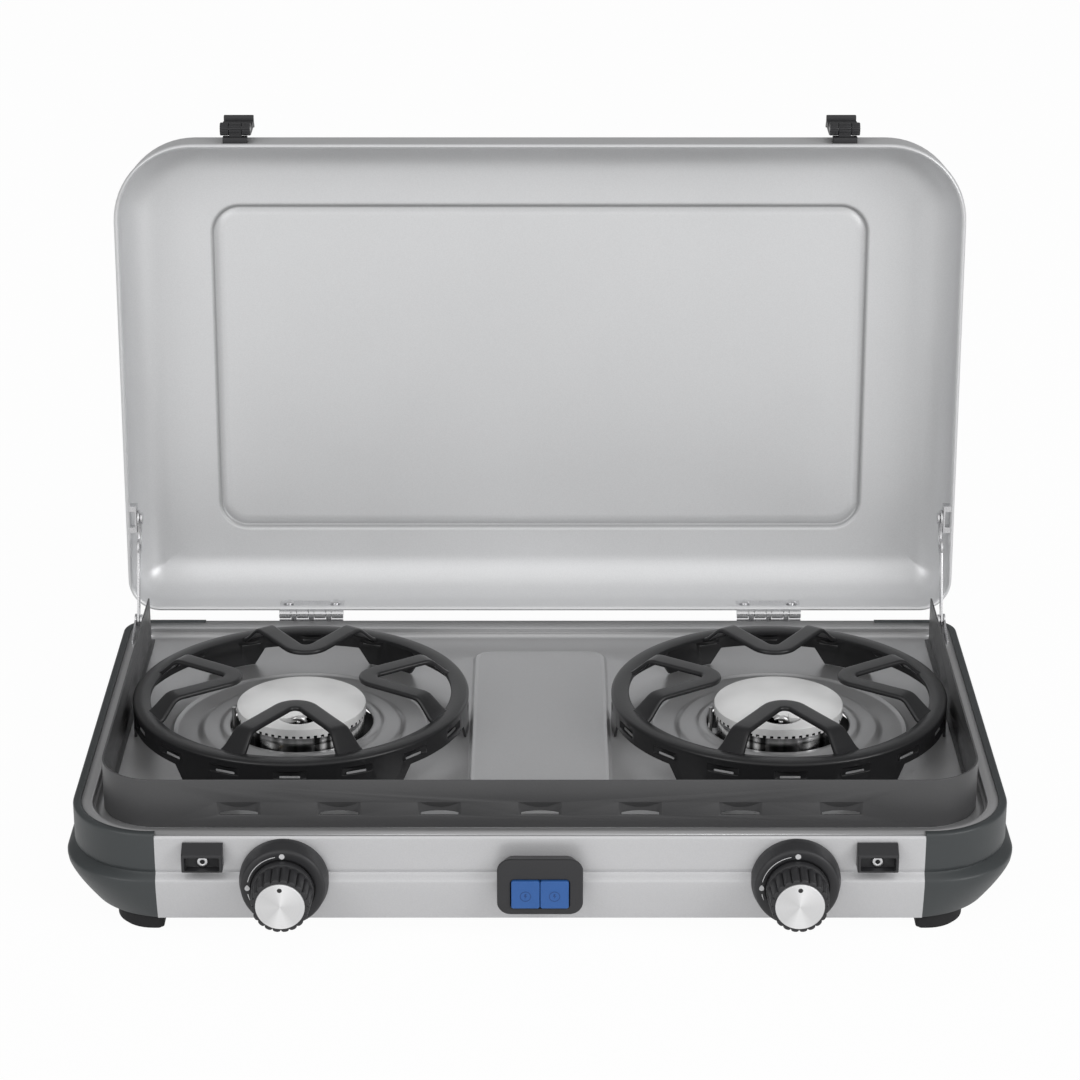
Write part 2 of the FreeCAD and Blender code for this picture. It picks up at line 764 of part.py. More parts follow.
def pipe(points, bend, radius):
    """A round pipe through points, with an arc at each bend."""
    edges = []
    start = points[0]
    for before, corner, after in zip(points, points[1:], points[2:]):
        arc_start, middle, arc_end = corner_arc(before, corner, after, bend)
        edges.append(Part.makeLine(start, arc_start))
        edges.append(Part.Arc(arc_start, middle, arc_end).toShape())
        start = arc_end
    edges.append(Part.makeLine(start, points[-1]))
    section = Part.Wire([Part.makeCircle(radius, points[0], points[1] - points[0])])
    return Part.Wire(edges).makePipe(Part.Face(section))


def manifold():
    """The gas pipe that joins both valves and runs back to the inlet."""
    y = valve_front_y + valve_length / 2
    end_y = rear_y - sheet - inlet_nut
    points = [V(-knob_x - valve_r - manifold_overhang, y, manifold_z), V(inlet_x, y, manifold_z),
              V(inlet_x, end_y, manifold_z)]
    return pipe(points, 3 * manifold_r, manifold_r)


def gas_inlet():
    """The threaded inlet stub, held to the rear panel by its nuts."""
    inner = rod((inlet_x, rear_y - sheet - inlet_nut, manifold_z), Y_AXIS, inlet_nut_r, inlet_nut)
    thread = rod((inlet_x, rear_y - sheet, manifold_z), Y_AXIS, inlet_r, sheet + inlet_reach)
    outer = rod((inlet_x, rear_y, manifold_z), Y_AXIS, inlet_nut_r, inlet_nut)
    bore = rod((inlet_x, rear_y + inlet_nut, manifold_z), Y_AXIS, manifold_bore, inlet_reach)
    return join([inner, thread, outer]).cut(bore)


def sensor_line(x):
    """The thin line from a flame sensor to its valve."""
    px = x - thermocouple_r
    y = valve_front_y + valve_length / 2
    z0 = cup_base_z - bracket_thick
    points = [V(px, burner_y, z0), V(px, burner_y, knob_z), V(px, y, knob_z), V(x - valve_r, y, knob_z)]
    return pipe(points, lead_bend, lead_r)


def ignition_lead(side):
    """The insulated lead from a piezo unit to its electrode."""
    x0 = side * (button_width + button_gap) / 2
    x1 = side * (burner_x - ceramic_r)
    y0 = bezel_back_y + piezo_length
    y1 = burner_y + electrode_y
    z1 = cup_base_z - bracket_thick - electrode_tail / 2
    points = [V(x0, y0, button_z), V(x0, (y0 + y1) / 2, button_z), V(x1 / 2, y1, z1), V(x1, y1, z1)]
    return pipe(points, lead_bend, lead_r)


def piezo_unit(side):
    """The spark generator behind a button."""
    x = side * (button_width + button_gap) / 2
    case = rod((x, bezel_back_y, button_z), Y_AXIS, piezo_r, piezo_length)
    depth = plunger_in_piezo + button_travel + seat
    socket = rod((x, bezel_back_y, button_z), Y_AXIS, plunger_r + plunger_clearance, depth)
    return case.cut(socket)


def catch_screw_z():
    """Height of the screw that holds a catch."""
    return ledge_z - catch_screw_r - 0.8


# ---- front controls ------------------------------------------------------------------------------
def knob_bezel(x):
    """The raised dark ring behind a knob, seated on the panel and spigoted through it."""
    skirt = rod((x, low_front_y, knob_z), Y_AXIS, bezel_r, max(front_bulge, skirt_tuck) + sheet)
    ring = cone((x, bezel_front_y, knob_z), Y_AXIS, bezel_face_r, bezel_r, bezel_height)
    ring = join([skirt, ring]).cut(envelope(0, rim_z))
    spigot = rod((x, low_front_y, knob_z), Y_AXIS, bezel_spigot_r, bezel_back_y - low_front_y)
    bore = rod((x, bezel_front_y - 1, knob_z), Y_AXIS, bezel_bore_r, bezel_back_y - bezel_front_y + 2)
    return join([ring, spigot]).cut(bore)


def knob_ends():
    """Y of the knob's back and front faces."""
    back = bezel_front_y - knob_gap
    return back, back - knob_length


def valve_stem(x):
    """The spindle from inside the valve to inside the knob."""
    back, front = knob_ends()
    start = back - stem_in_knob
    return rod((x, start, knob_z), Y_AXIS, stem_r, valve_front_y + stem_in_valve - start - seat)


def knob(x):
    """The tapered, scalloped knob."""
    back, front = knob_ends()
    body = cone((x, front, knob_z), Y_AXIS, knob_top_r, knob_base_r, knob_length)
    grooves = []
    for i in range(scallops):
        groove = rod((x, front - 1, knob_z + knob_top_r + scallop_r - scallop_depth), Y_AXIS, scallop_r,
                     knob_length * 0.8)
        grooves.append(groove.rotate(V(x, 0, knob_z), Y_AXIS, 360 * (i + 0.5) / scallops))
    face = rod((x, front, knob_z), Y_AXIS, knob_cap_r, knob_cap_depth)
    bore = rod((x, back - stem_in_knob, knob_z), Y_AXIS, stem_r, stem_in_knob)
    return body.cut(Part.makeCompound(grooves)).cut(face).cut(bore)


def knob_cap(x):
    """The brushed disc let into a knob's face."""
    front = knob_ends()[1]
    return rod((x, front - knob_cap_proud, knob_z), Y_AXIS, knob_cap_r, knob_cap_proud + knob_cap_depth)


def button_pocket():
    """The opening in the housing round both buttons."""
    half_w = button_width + button_gap / 2 + button_margin
    z0 = button_z - button_height / 2 - button_gap
    z1 = button_z + button_height / 2 + button_margin
    depth = button_depth - button_proud + button_travel + seat
    return front_plate(0, (z0 + z1) / 2, half_w, (z1 - z0) / 2, 2 * button_r,
                       housing_front_y - 1, housing_front_y + depth)


def ignition_housing():
    """The rounded housing of the igniter, with its spigot through the panel."""
    half_w = housing_width / 2
    half_h = housing_height / 2
    face = front_plate(0, housing_z, half_w, half_h, housing_r, housing_front_y, front_y + sheet)
    face = face.cut(envelope(0, rim_z))
    inset = 2 * housing_wall
    spigot = front_plate(0, housing_z, half_w - inset, half_h - inset, housing_r - inset,
                         low_front_y, bezel_back_y)
    holes = [rod((side * (button_width + button_gap) / 2, low_front_y - 2, button_z), Y_AXIS,
                 plunger_r + plunger_clearance, bezel_back_y - low_front_y + 3) for side in SIDES.values()]
    return join([face, spigot]).cut(button_pocket()).cut(Part.makeCompound(holes))


def igniter_button(side):
    """A square push button with its plunger."""
    x = side * (button_width + button_gap) / 2
    front = housing_front_y - button_proud
    back = front + button_depth
    key = front_plate(x, button_z, button_width / 2, button_height / 2, button_r, front, back)
    plunger = rod((x, back, button_z), Y_AXIS, plunger_r, bezel_back_y + plunger_in_piezo - back)
    return join([key, plunger])


def latch_catch(x):
    """The block that a clip hooks under: sloped above, with a pocket below the ledge."""
    z0 = catch_top - catch_height
    outline = [(front_y, catch_top), (front_y - catch_side, catch_top), (catch_face_y, ledge_z + catch_side),
               (catch_face_y, z0), (front_y, z0)]
    block = side_prism(outline, x - catch_width / 2, x + catch_width / 2)
    half = catch_width / 2 - catch_side
    recess = box(x - half, x + half, catch_face_y - 1, catch_floor_y, z0 + catch_sill, ledge_z)
    hole = rod((x, catch_floor_y - 1, catch_screw_z()), Y_AXIS, catch_screw_shank_r, catch_proud)
    return block.cut(recess).cut(hole)


def catch_screws():
    """The two screws through the catches."""
    screws = []
    for side in SIDES.values():
        x = side * latch_x
        head = rod((x, catch_floor_y - catch_screw_head, catch_screw_z()), Y_AXIS, catch_screw_r,
                   catch_screw_head)
        shank = rod((x, catch_floor_y, catch_screw_z()), Y_AXIS, catch_screw_shank_r, catch_screw_length)
        socket = rod((x, catch_floor_y - catch_screw_head, catch_screw_z()), Y_AXIS, catch_screw_r * 0.35,
                     catch_screw_head * 0.7)
        screws.append(join([head, shank]).cut(socket))
    return screws


# ---- hoods pressed out of a sheet ----------------------------------------------------------------
def hood(width, height, bulge, wall, mouth):
    """A louvre hood on a sheet in the plane Y = 0: round on plan, bulging to +Y, open below at z = 0.

    Returns the hood and the hollow to cut through the sheet behind it.
    """
    round_r = ((width / 2) ** 2 + bulge ** 2) / (2 * bulge)

    def scoop(inset, y0, z0):
        drum = rod((0, bulge - round_r, z0), Z_AXIS, round_r - inset, height - inset - z0)
        roof = [(y0, z0), (bulge, z0), (bulge, mouth - inset), (0, height - inset), (y0, height - inset)]
        return drum.common(side_prism(roof, -width, width))

    return scoop(0, 0, 0), scoop(wall, -2 * wall, -wall)


# ---- pan supports --------------------------------------------------------------------------------
def leg_window(angle):
    """The gap between two legs, wider at the deck, centred on an angle from the front."""
    top = support_top - skirt_short
    low = floor_z - 1
    wide = support_r * math.sin(math.radians(window_foot_deg))
    narrow = support_r * math.sin(math.radians(window_top_deg))
    points = [V(-wide, 0, low), V(wide, 0, low), V(narrow, 0, top), V(-narrow, 0, top)]
    gap = prism(points, [0] * 4, V(0, -support_r - 1, 0))
    return gap.rotate(V(0, 0, 0), Z_AXIS, angle)


def prong(angle):
    """A V-shaped prong: two arms that climb from the ring and meet in a round tip."""
    half = math.radians(prong_half_deg)
    apex = prong_tip + prong_tip_round - prong_tip_round / math.sin(half)
    window_apex = apex + prong_arm / math.sin(half)
    reach = support_r - ring_width + support_sheet

    def vee(start, radius, far):
        spread = (far - start) * math.tan(half)
        points = [V(0, -start, 0), V(-spread, -far, 0), V(spread, -far, 0)]
        return prism(points, [radius, 0, 0], V(0, 0, 2 * support_top))

    window = vee(window_apex, prong_tip_round - prong_arm + 1, reach + 5).common(
        box(-prong_window_half, prong_window_half, -support_r, 0, 0, 2 * support_top))
    plan = vee(apex, prong_tip_round, reach).cut(window)
    crest = support_top + prong_rise
    foot = support_r - ring_width
    under = support_top - support_sheet
    outline = [(-prong_tip / 2, crest), (-prong_end_r, crest), (-foot, support_top), (-reach, support_top),
               (-reach, under), (-foot + support_sheet / 2, under),
               (-prong_end_r + support_sheet / 2, crest - support_sheet),
               (-prong_tip / 2, crest - support_sheet)]
    strip = side_prism(outline, -support_r, support_r)
    return plan.common(strip).rotate(V(0, 0, 0), Z_AXIS, angle)


def pan_support():
    """One enamelled pan support, centred on the origin: ring, skirt with slits, six legs and four prongs."""
    base = floor_z + seat
    wall = rod((0, 0, base), Z_AXIS, support_r, support_top - base)
    wall = wall.cut(rod((0, 0, base - 1), Z_AXIS, support_r - support_sheet, support_top - base + 2))
    ring = rod((0, 0, support_top - support_sheet), Z_AXIS, support_r, support_sheet)
    ring = ring.cut(rod((0, 0, support_top - 2 * support_sheet), Z_AXIS, support_r - ring_width,
                        3 * support_sheet))
    windows = [leg_window(360 * i / leg_count) for i in range(leg_count)]
    skirt = wall.cut(Part.makeCompound(windows))
    shell, hollow = hood(slit_width, slit_height, slit_bulge, slit_wall, slit_mouth)
    slit_z = support_top - slit_drop - slit_height
    hoods = []
    hollows = []
    for i in range(slit_count):
        for piece, group in ((shell, hoods), (hollow, hollows)):
            placed = piece.copy()
            placed.translate(V(0, -support_r + support_sheet / 2, slit_z))
            group.append(placed.rotate(V(0, 0, 0), Z_AXIS, 360 * i / slit_count))
    prongs = [prong(90 * i) for i in range(4)]
    return join([skirt, ring] + hoods + prongs).cut(Part.makeCompound(hollows))


# ---- windscreen ----------------------------------------------------------------------------------
def windscreen():
    """The three-sided screen with inward louvres and narrow feet along its sides."""
    z0 = floor_z + seat
    z1 = floor_z + screen_height
    outer = rect_block(screen_half, screen_front_y, screen_rear_y, screen_corner_r, 0, z0, z1)
    inner = rect_block(screen_half - screen_sheet, screen_front_y + screen_sheet, screen_rear_y + 1,
                       screen_corner_r - screen_sheet, 0, z0 - 1, z1 + 1)
    sheet_wall = outer.cut(inner)
    pieces = [sheet_wall]
    for side in SIDES.values():
        edge = side * (screen_half - screen_sheet)
        inside = side * (screen_half - screen_sheet - screen_foot)
        pieces.append(box(min(edge, inside), max(edge, inside), screen_foot_front, screen_rear_y,
                          z0, z0 + screen_sheet))
    slit_z = z1 - louvre_drop
    spots = [(i * louvre_pitch, screen_front_y + screen_sheet / 2, 0, louvre_bulge)
             for i in range(-louvre_count, louvre_count + 1)]
    for side in SIDES.values():
        spots += [(side * (screen_half - screen_sheet / 2), side_louvre_first + i * side_louvre_pitch,
                   side * 90, side_louvre_bulge) for i in range(side_louvres)]
    hollows = []
    for x, y, turn, bulge in spots:
        shell, hollow = hood(louvre_width, louvre_height, bulge, screen_sheet, louvre_mouth)
        for piece, group in ((shell, pieces), (hollow, hollows)):
            placed = piece.rotate(V(0, 0, 0), Z_AXIS, turn)
            placed.translate(V(x, y, slit_z))
            group.append(placed)
    return join(pieces).cut(Part.makeCompound(hollows))


# ---- lid -----------------------------------------------------------------------------------------
def lid_plan(inset, z0, z1):
    """A block on the lid's plan, brought in by an inset."""
    return rect_block(lid_half - inset, lid_front_y + inset, lid_rear_y - inset,
                      lid_front_r - inset, lid_rear_r - inset, z0, z1)


def lid_block(inset):
    """The lid's outer form with its rounded top edge, brought in by an inset."""
    top = lid_z + lid_height - inset
    block = lid_plan(inset, lid_z, top)
    edges = [e for e in block.Edges
             if abs(e.BoundBox.ZMin - top) < 1e-6 and abs(e.BoundBox.ZMax - top) < 1e-6]
    return block.makeFillet(lid_edge_r - inset, edges)


def emboss_block(inset, z0, z1):
    """The raised rectangle on the lid's top."""
    half_d = emboss_depth / 2 - inset
    return rect_block(emboss_width / 2 - inset, -half_d, half_d, emboss_r - inset, emboss_r - inset, z0, z1)


def lid_shell():
    """The pressed lid: a shallow tray with a folded edge and a raised rectangle."""
    top = lid_z + lid_height
    outer = join([lid_block(0), emboss_block(0, top - sheet, top + emboss_rise)])
    hollow = join([lid_block(sheet), emboss_block(sheet, top - 2 * sheet, top + emboss_rise - sheet)])
    band = lid_plan(-lid_band_proud, lid_z, lid_z + lid_band)
    band = band.cut(lid_plan(0, lid_z - 1, lid_z + lid_band + 1))
    shell = join([outer, band]).cut(hollow)
    holes = [rod((x, lid_rear_y - sheet - 1, rivet_z()), Y_AXIS, rivet_r, sheet + 2) for x in rivet_places()]
    return shell.cut(Part.makeCompound(holes))


# ---- hinges --------------------------------------------------------------------------------------
def rivet_places():
    """X of the four rivets of the lid's hinge leaves."""
    return [side * hinge_x + end * rivet_x for side in SIDES.values() for end in (-1, 1)]


def rivet_z():
    """Height of the lid's hinge rivets, lid closed."""
    return lid_z + rivet_rise


def knuckle_spans(of_lid):
    """(start, end) along the hinge of the knuckles of the lid's or the base's leaf."""
    slim = knuckle_slim
    wide = (hinge_width - 3 * slim) / 4
    spans = []
    x = -hinge_width / 2
    for i in range(7):
        width = slim if i % 2 else wide
        if (i % 2 == 0) == of_lid:
            trim = knuckle_gap / 2
            spans.append((x + (trim if i else 0), x + width - (trim if i < 6 else 0)))
        x += width
    return spans


def hinge_base_leaf(x):
    """The leaf on the back of the body, with three slim knuckles."""
    plate_top = hinge_z - hinge_barrel_r - seat
    half = hinge_width / 2
    plate = box(x - half, x + half, rear_y, rear_y + hinge_leaf, rim_z - hinge_leaf_drop, plate_top)
    pieces = [plate]
    for start, end in knuckle_spans(False):
        pieces.append(rod((x + start, hinge_y, hinge_z), X_AXIS, hinge_barrel_r, end - start))
        pieces.append(box(x + start, x + end, rear_y, rear_y + hinge_leaf, plate_top, hinge_z))
    holes = [rod((x + end * rivet_x, rear_y - 1, base_rivet_z()), Y_AXIS, rivet_r, hinge_leaf + 2)
             for end in (-1, 1)]
    bore = rod((x - half - 1, hinge_y, hinge_z), X_AXIS, hinge_pin_r, hinge_width + 2)
    return join(pieces).cut(bore).cut(Part.makeCompound(holes))


def base_rivet_z():
    """Height of the rivets in the base leaves."""
    return rim_z - hinge_leaf_drop + rivet_rise / 2


def hinge_lid_leaf(x):
    """The leaf on the lid's rear skirt, drawn closed, with four wide knuckles."""
    z0 = lid_z + lid_band + seat
    half = hinge_width / 2
    pieces = [box(x - half, x + half, lid_rear_y, lid_rear_y + hinge_leaf, z0, lid_z + hinge_leaf_rise)]
    face_y = lid_rear_y + hinge_leaf
    finger = [(lid_rear_y, z0), (lid_rear_y, z0 + hinge_leaf), (face_y, z0 + hinge_leaf),
              (hinge_y + hinge_barrel_r * 0.6, hinge_z + hinge_barrel_r * 0.8), (hinge_y, hinge_z + hinge_pin_r),
              (face_y, z0)]
    for start, end in knuckle_spans(True):
        barrel = rod((x + start, hinge_y, hinge_z), X_AXIS, hinge_barrel_r, end - start)
        pieces += [barrel, side_prism(finger, x + start, x + end)]
    bore = rod((x - half - 1, hinge_y, hinge_z), X_AXIS, hinge_pin_r + pin_clearance, hinge_width + 2)
    holes = [rod((x + end * rivet_x, lid_rear_y - 1, rivet_z()), Y_AXIS, rivet_r, hinge_leaf + 2)
             for end in (-1, 1)]
    return join(pieces).cut(bore).cut(Part.makeCompound(holes))


def hinge_pin(x):
    """The pin, fixed in the base's knuckles."""
    return rod((x - hinge_width / 2, hinge_y, hinge_z), X_AXIS, hinge_pin_r, hinge_width)


def dome(x, y, z, direction):
    """A low rivet head on a face, domed towards +Y or -Y."""
    ball_r = (rivet_head_r ** 2 + rivet_head ** 2) / (2 * rivet_head)
    ball = Part.makeSphere(ball_r, V(x, y - direction * (ball_r - rivet_head), z))
    start = y if direction > 0 else y - rivet_head
    return ball.common(rod((x, start, z), Y_AXIS, rivet_head_r, rivet_head))


def hinge_rivets(z, face_y, back_y):
    """Four rivets between two faces, domed on both ends."""
    rivets = []
    for x in rivet_places():
        shank = rod((x, face_y, z), Y_AXIS, rivet_r, back_y - face_y)
        rivets.append(join([shank, dome(x, face_y, z, -1), dome(x, back_y, z, 1)]))
    return rivets


# ---- lid stays -----------------------------------------------------------------------------------
def stay_angle(opened):
    """Direction, in degrees from +Y towards +Z, from the base pivot to the lid's stud."""
    y, z = turned(lid_stud_y, lid_stud_z, opened)
    return math.degrees(math.atan2(z - stay_z, y - stay_y))


def stay_ratio():
    """Degrees that the stay turns for each degree of the lid."""
    return (stay_angle(0) - stay_angle(lid_open_deg)) / lid_open_deg


def slot_point(opened):
    """Where the lid's stud lies on the stay, in the open pose, when the lid is opened by an angle."""
    y, z = turned(lid_stud_y, lid_stud_z, opened)
    back = math.radians(stay_ratio() * (opened - lid_open_deg))
    dy = y - stay_y
    dz = z - stay_z
    return (stay_y + dy * math.cos(back) - dz * math.sin(back),
            stay_z + dy * math.sin(back) + dz * math.cos(back))


def stud_path():
    """Points of the stud's path on the stay, from lid closed to lid open."""
    return [V(stay_x, *slot_point(lid_open_deg * i / slot_steps)) for i in range(slot_steps + 1)]


def band(points, half_width):
    """A strip of the stay's sheet along points, with round ends."""
    outline = Part.makePolygon(points).makeOffset2D(half_width)
    return Part.Face(outline).extrude(X_AXIS * stay_sheet)


def stay_bar():
    """The right-hand stay in the open pose: round eye at the base pivot, curved slot at the lid's stud."""
    pivot = V(stay_x, stay_y, stay_z)
    path = stud_path()
    slot_half = stud_r + stud_clear
    head = band(path, slot_half + stay_slot_wall)
    eye = rod(pivot, X_AXIS, stay_end_r, stay_sheet)
    across = X_AXIS.cross(path[0] - pivot).normalize() * stay_end_r
    corners = [pivot - across, path[0] - across, path[0] + across, pivot + across]
    arm = prism(corners, [0] * 4, X_AXIS * stay_sheet)
    hole = rod((stay_x - 1, stay_y, stay_z), X_AXIS, stud_r + pin_clearance, stay_sheet + 2)
    return join([head, eye, arm]).cut(hole).cut(band(path, slot_half))


def stay_lug():
    """The right-hand base lug with its stud, standing on the deck's flange."""
    outline = [(stay_y - lug_foot_front, rim_z), (stay_y + stay_end_r, rim_z), (stay_y + stay_end_r, stay_z),
               (stay_y - stay_end_r, stay_z + stay_end_r * 0.4), (stay_y - lug_foot_front, rim_z + lug_foot)]
    plate = side_prism(outline, stay_lug_x, stay_lug_x + lug_sheet)
    eye = rod((stay_lug_x, stay_y, stay_z), X_AXIS, stay_end_r, lug_sheet)
    shank = rod((stay_x - seat, stay_y, stay_z), X_AXIS, stud_r, stay_sheet + 2 * seat)
    head = rod((stay_x - seat - stud_head, stay_y, stay_z), X_AXIS, stud_head_r, stud_head)
    return join([plate, eye, shank, head])


def stay_bridge():
    """The right-hand bracket inside the lid with the stud that rides in the stay, drawn closed."""
    half = bridge_length / 2
    plate = box(stay_lug_x, stay_lug_x + lug_sheet, lid_stud_y - half, lid_stud_y + half,
                lid_stud_z - bridge_height / 2, lid_stud_z + bridge_height / 2)
    pieces = [plate]
    for y0 in (lid_stud_y - half, lid_stud_y + half - bridge_foot):
        pieces.append(box(stay_lug_x, lid_half - sheet, y0, y0 + bridge_foot,
                          lid_stud_z - bridge_height / 2, lid_stud_z + bridge_height / 2))
    pieces.append(rod((stay_x - seat, lid_stud_y, lid_stud_z), X_AXIS, stud_r, stay_sheet + 2 * seat))
    pieces.append(rod((stay_x - seat - stud_head, lid_stud_y, lid_stud_z), X_AXIS, stud_head_r, stud_head))
    return join(pieces)


# ---- latch clips ---------------------------------------------------------------------------------
def clip_bracket(x):
    """The bracket on the lid's front skirt that carries a clip, drawn closed."""
    half = clip_bracket_width / 2
    z0 = lid_z + lid_band + seat
    plate = box(x - half, x + half, lid_front_y - clip_bracket_plate, lid_front_y, z0, lid_z + clip_bracket_up)
    knuckle_r = clip_pin_r + 1.6
    arm = box(x - clip_knuckle / 2, x + clip_knuckle / 2, clip_y, lid_front_y, clip_z - knuckle_r,
              clip_z + knuckle_r)
    eye = rod((x - clip_knuckle / 2, clip_y, clip_z), X_AXIS, knuckle_r, clip_knuckle)
    hole = rod((x - clip_width, clip_y, clip_z), X_AXIS, clip_pin_r, 2 * clip_width)
    return join([plate, arm, eye]).cut(hole)


def clip_pin(x):
    """The pin through a clip's ears and its bracket."""
    return rod((x - clip_width / 2, clip_y, clip_z), X_AXIS, clip_pin_r, clip_width)


def latch_clip(x):
    """A latch clip, drawn hooked under the catch of the closed stove."""
    inner = catch_face_y - 2 * seat
    outer = inner - clip_arm
    hook_top = ledge_z - seat
    hook_base = hook_top - hook_thick
    outline = [(clip_y, clip_z + clip_barrel_r), (clip_y - clip_barrel_r, clip_z + clip_barrel_r * 0.4),
               (outer, clip_z - clip_barrel_r), (outer, hook_base), (outer - clip_arm * 0.6, hook_base - hook_thick),
               (outer - clip_arm * 0.1, hook_base - hook_thick * 1.2), (inner, hook_base),
               (catch_face_y + hook_bite, hook_base), (catch_face_y + hook_bite, hook_top - hook_thick * 0.3),
               (catch_face_y + hook_bite * 0.6, hook_top), (inner, hook_top), (inner, clip_z - clip_barrel_r),
               (clip_y, clip_z)]
    half = clip_width / 2
    body = side_prism(outline, x - half, x + half)
    barrel = rod((x - half, clip_y, clip_z), X_AXIS, clip_barrel_r, clip_width)
    slot_half = clip_knuckle / 2 + seat
    slot = rod((x - slot_half, clip_y, clip_z), X_AXIS, 1.8 * clip_barrel_r, 2 * slot_half)
    hole = rod((x - clip_width, clip_y, clip_z), X_AXIS, clip_pin_r + pin_clearance, 2 * clip_width)
    return join([body, barrel]).cut(slot).cut(hole)


def open_clip(shape):
    """Swings a hooked clip up and back to where it lies along the lid's skirt."""
    return shape.rotate(V(0, clip_y, clip_z), X_AXIS, -clip_open_deg)


# ---- nodes ---------------------------------------------------------------------------------------
def build_base():
    """Everything that stays on the table."""
    export("deck", deck())
    export("front_panel", front_panel())
    export("rear_panel", rear_panel())
    cap = end_cap()
    export("end_cap_right", cap)
    export("end_cap_left", mirror_x(cap))
    export("feet", *feet())
    export("gas_manifold", manifold())
    export("gas_inlet", gas_inlet())
    export("ignition_housing", ignition_housing())
    export("catch_screws", *catch_screws())
    export("latch_catches", *[latch_catch(side * latch_x) for side in SIDES.values()])
    export("burner_brackets", *[burner_bracket(side * burner_x) for side in SIDES.values()])
    export("spark_electrodes", *[electrode(side * burner_x) for side in SIDES.values()])
    export("thermocouples", *[thermocouple(side * burner_x) for side in SIDES.values()])
    export("sensor_lines", *[sensor_line(side * burner_x) for side in SIDES.values()])
    export("ignition_leads", *[ignition_lead(side) for side in SIDES.values()])
    export("piezo_units", *[piezo_unit(side) for side in SIDES.values()])
    export("injectors", *[injector(side * knob_x) for side in SIDES.values()])
    export("hinge_pins", *[hinge_pin(side * hinge_x) for side in SIDES.values()])
    export("base_hinge_rivets", *hinge_rivets(base_rivet_z(), rear_y - sheet, rear_y + hinge_leaf))
    for name, side in SIDES.items():
        x = side * burner_x
        export("burner_body_" + name, burner_cup(x))
        export("burner_cap_" + name, burner_cap(x, side))
        export("mixing_tube_" + name, venturi(x))
        export("gas_valve_" + name, valve(side * knob_x))
        export("knob_bezel_" + name, knob_bezel(side * knob_x))
        export("hinge_base_leaf_" + name, hinge_base_leaf(side * hinge_x))
        export("stay_lug_" + name, mirrored(stay_lug(), side))


def build_lid():
    """The lid and what is fixed to it, swung open."""
    export("lid_shell", open_lid(lid_shell()))
    rivets = hinge_rivets(rivet_z(), lid_rear_y - sheet, lid_rear_y + hinge_leaf)
    export("lid_hinge_rivets", *[open_lid(r) for r in rivets])
    export("clip_pins", *[open_lid(clip_pin(side * latch_x)) for side in SIDES.values()])
    for name, side in SIDES.items():
        export("hinge_lid_leaf_" + name, open_lid(hinge_lid_leaf(side * hinge_x)))
        export("stay_bridge_" + name, open_lid(mirrored(stay_bridge(), side)))
        export("clip_bracket_" + name, open_lid(clip_bracket(side * latch_x)))


def build_moving():
    """The pieces that move on their own."""
    support = pan_support()
    export("windscreen", windscreen())
    for name, side in SIDES.items():
        placed = support.copy()
        placed.translate(V(side * burner_x, burner_y, 0))
        export("pan_support_" + name, placed)
        export("lid_stay_" + name, mirrored(stay_bar(), side))
        export("latch_clip_" + name, open_lid(open_clip(latch_clip(side * latch_x))))
        export("knob_" + name, knob(side * knob_x))
        export("knob_cap_" + name, knob_cap(side * knob_x))
        export("valve_stem_" + name, valve_stem(side * knob_x))
        export("igniter_button_" + name, igniter_button(side))


if __name__ == "__main__":
    os.makedirs("parts", exist_ok=True)
    build_base()
    build_lid()
    build_moving()
    print("stay ratio", round(stay_ratio(), 6))
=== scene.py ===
"""The finished look of a two-burner camping stove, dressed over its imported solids.

Pieces are drawn in millimetres with Y = 0 in the middle of the body's depth, as the solids are, and are
then placed in the frame. Pieces of the lid are drawn closed and swung to where the lid stands open. Sizes are
in the drawing's millimetres, and materials work in the frame's metres.
"""

import json
import logging
import math
from dataclasses import dataclass
from enum import Enum
from typing import Any, Iterable, Optional, Sequence, Union

import bmesh
import bpy
from mathutils import Matrix, Vector
from mathutils.geometry import delaunay_2d_cdt


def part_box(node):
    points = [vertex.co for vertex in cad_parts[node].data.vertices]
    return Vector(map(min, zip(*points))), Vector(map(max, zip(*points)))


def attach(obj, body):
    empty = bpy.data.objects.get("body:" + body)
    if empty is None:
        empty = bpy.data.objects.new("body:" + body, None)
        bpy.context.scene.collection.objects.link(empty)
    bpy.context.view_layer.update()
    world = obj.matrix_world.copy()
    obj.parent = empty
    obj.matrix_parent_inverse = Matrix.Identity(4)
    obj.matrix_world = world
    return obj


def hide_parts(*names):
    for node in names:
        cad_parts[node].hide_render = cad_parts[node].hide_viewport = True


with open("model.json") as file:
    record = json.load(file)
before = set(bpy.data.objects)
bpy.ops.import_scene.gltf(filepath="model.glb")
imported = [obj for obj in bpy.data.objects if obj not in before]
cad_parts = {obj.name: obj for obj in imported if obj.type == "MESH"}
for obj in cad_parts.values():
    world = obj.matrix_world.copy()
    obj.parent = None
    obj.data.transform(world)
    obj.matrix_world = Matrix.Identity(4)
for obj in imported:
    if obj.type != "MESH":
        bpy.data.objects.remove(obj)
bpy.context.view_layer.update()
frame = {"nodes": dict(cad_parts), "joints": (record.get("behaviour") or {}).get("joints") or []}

MM = 0.001
OPENED = -93.75  # degrees about +X from the closed lid to the open one
ONE_POINT = 0.002  # corners nearer than this many millimetres are one
FLAT = 0.2  # faces that lie within this many degrees of each other are one
Colour = tuple[float, float, float]
Plan = list[tuple[float, float]]
Profile = tuple[tuple[float, float], ...]
Number = Union[float, "Value"]

log = logging.getLogger("stove")


# ---- where things are -------------------------------------------------------------------------------------
def hinge_of(name: str) -> dict[str, Any]:
    """The joint of that name in the frame."""
    return next(joint for joint in frame["joints"] if joint["name"] == name)


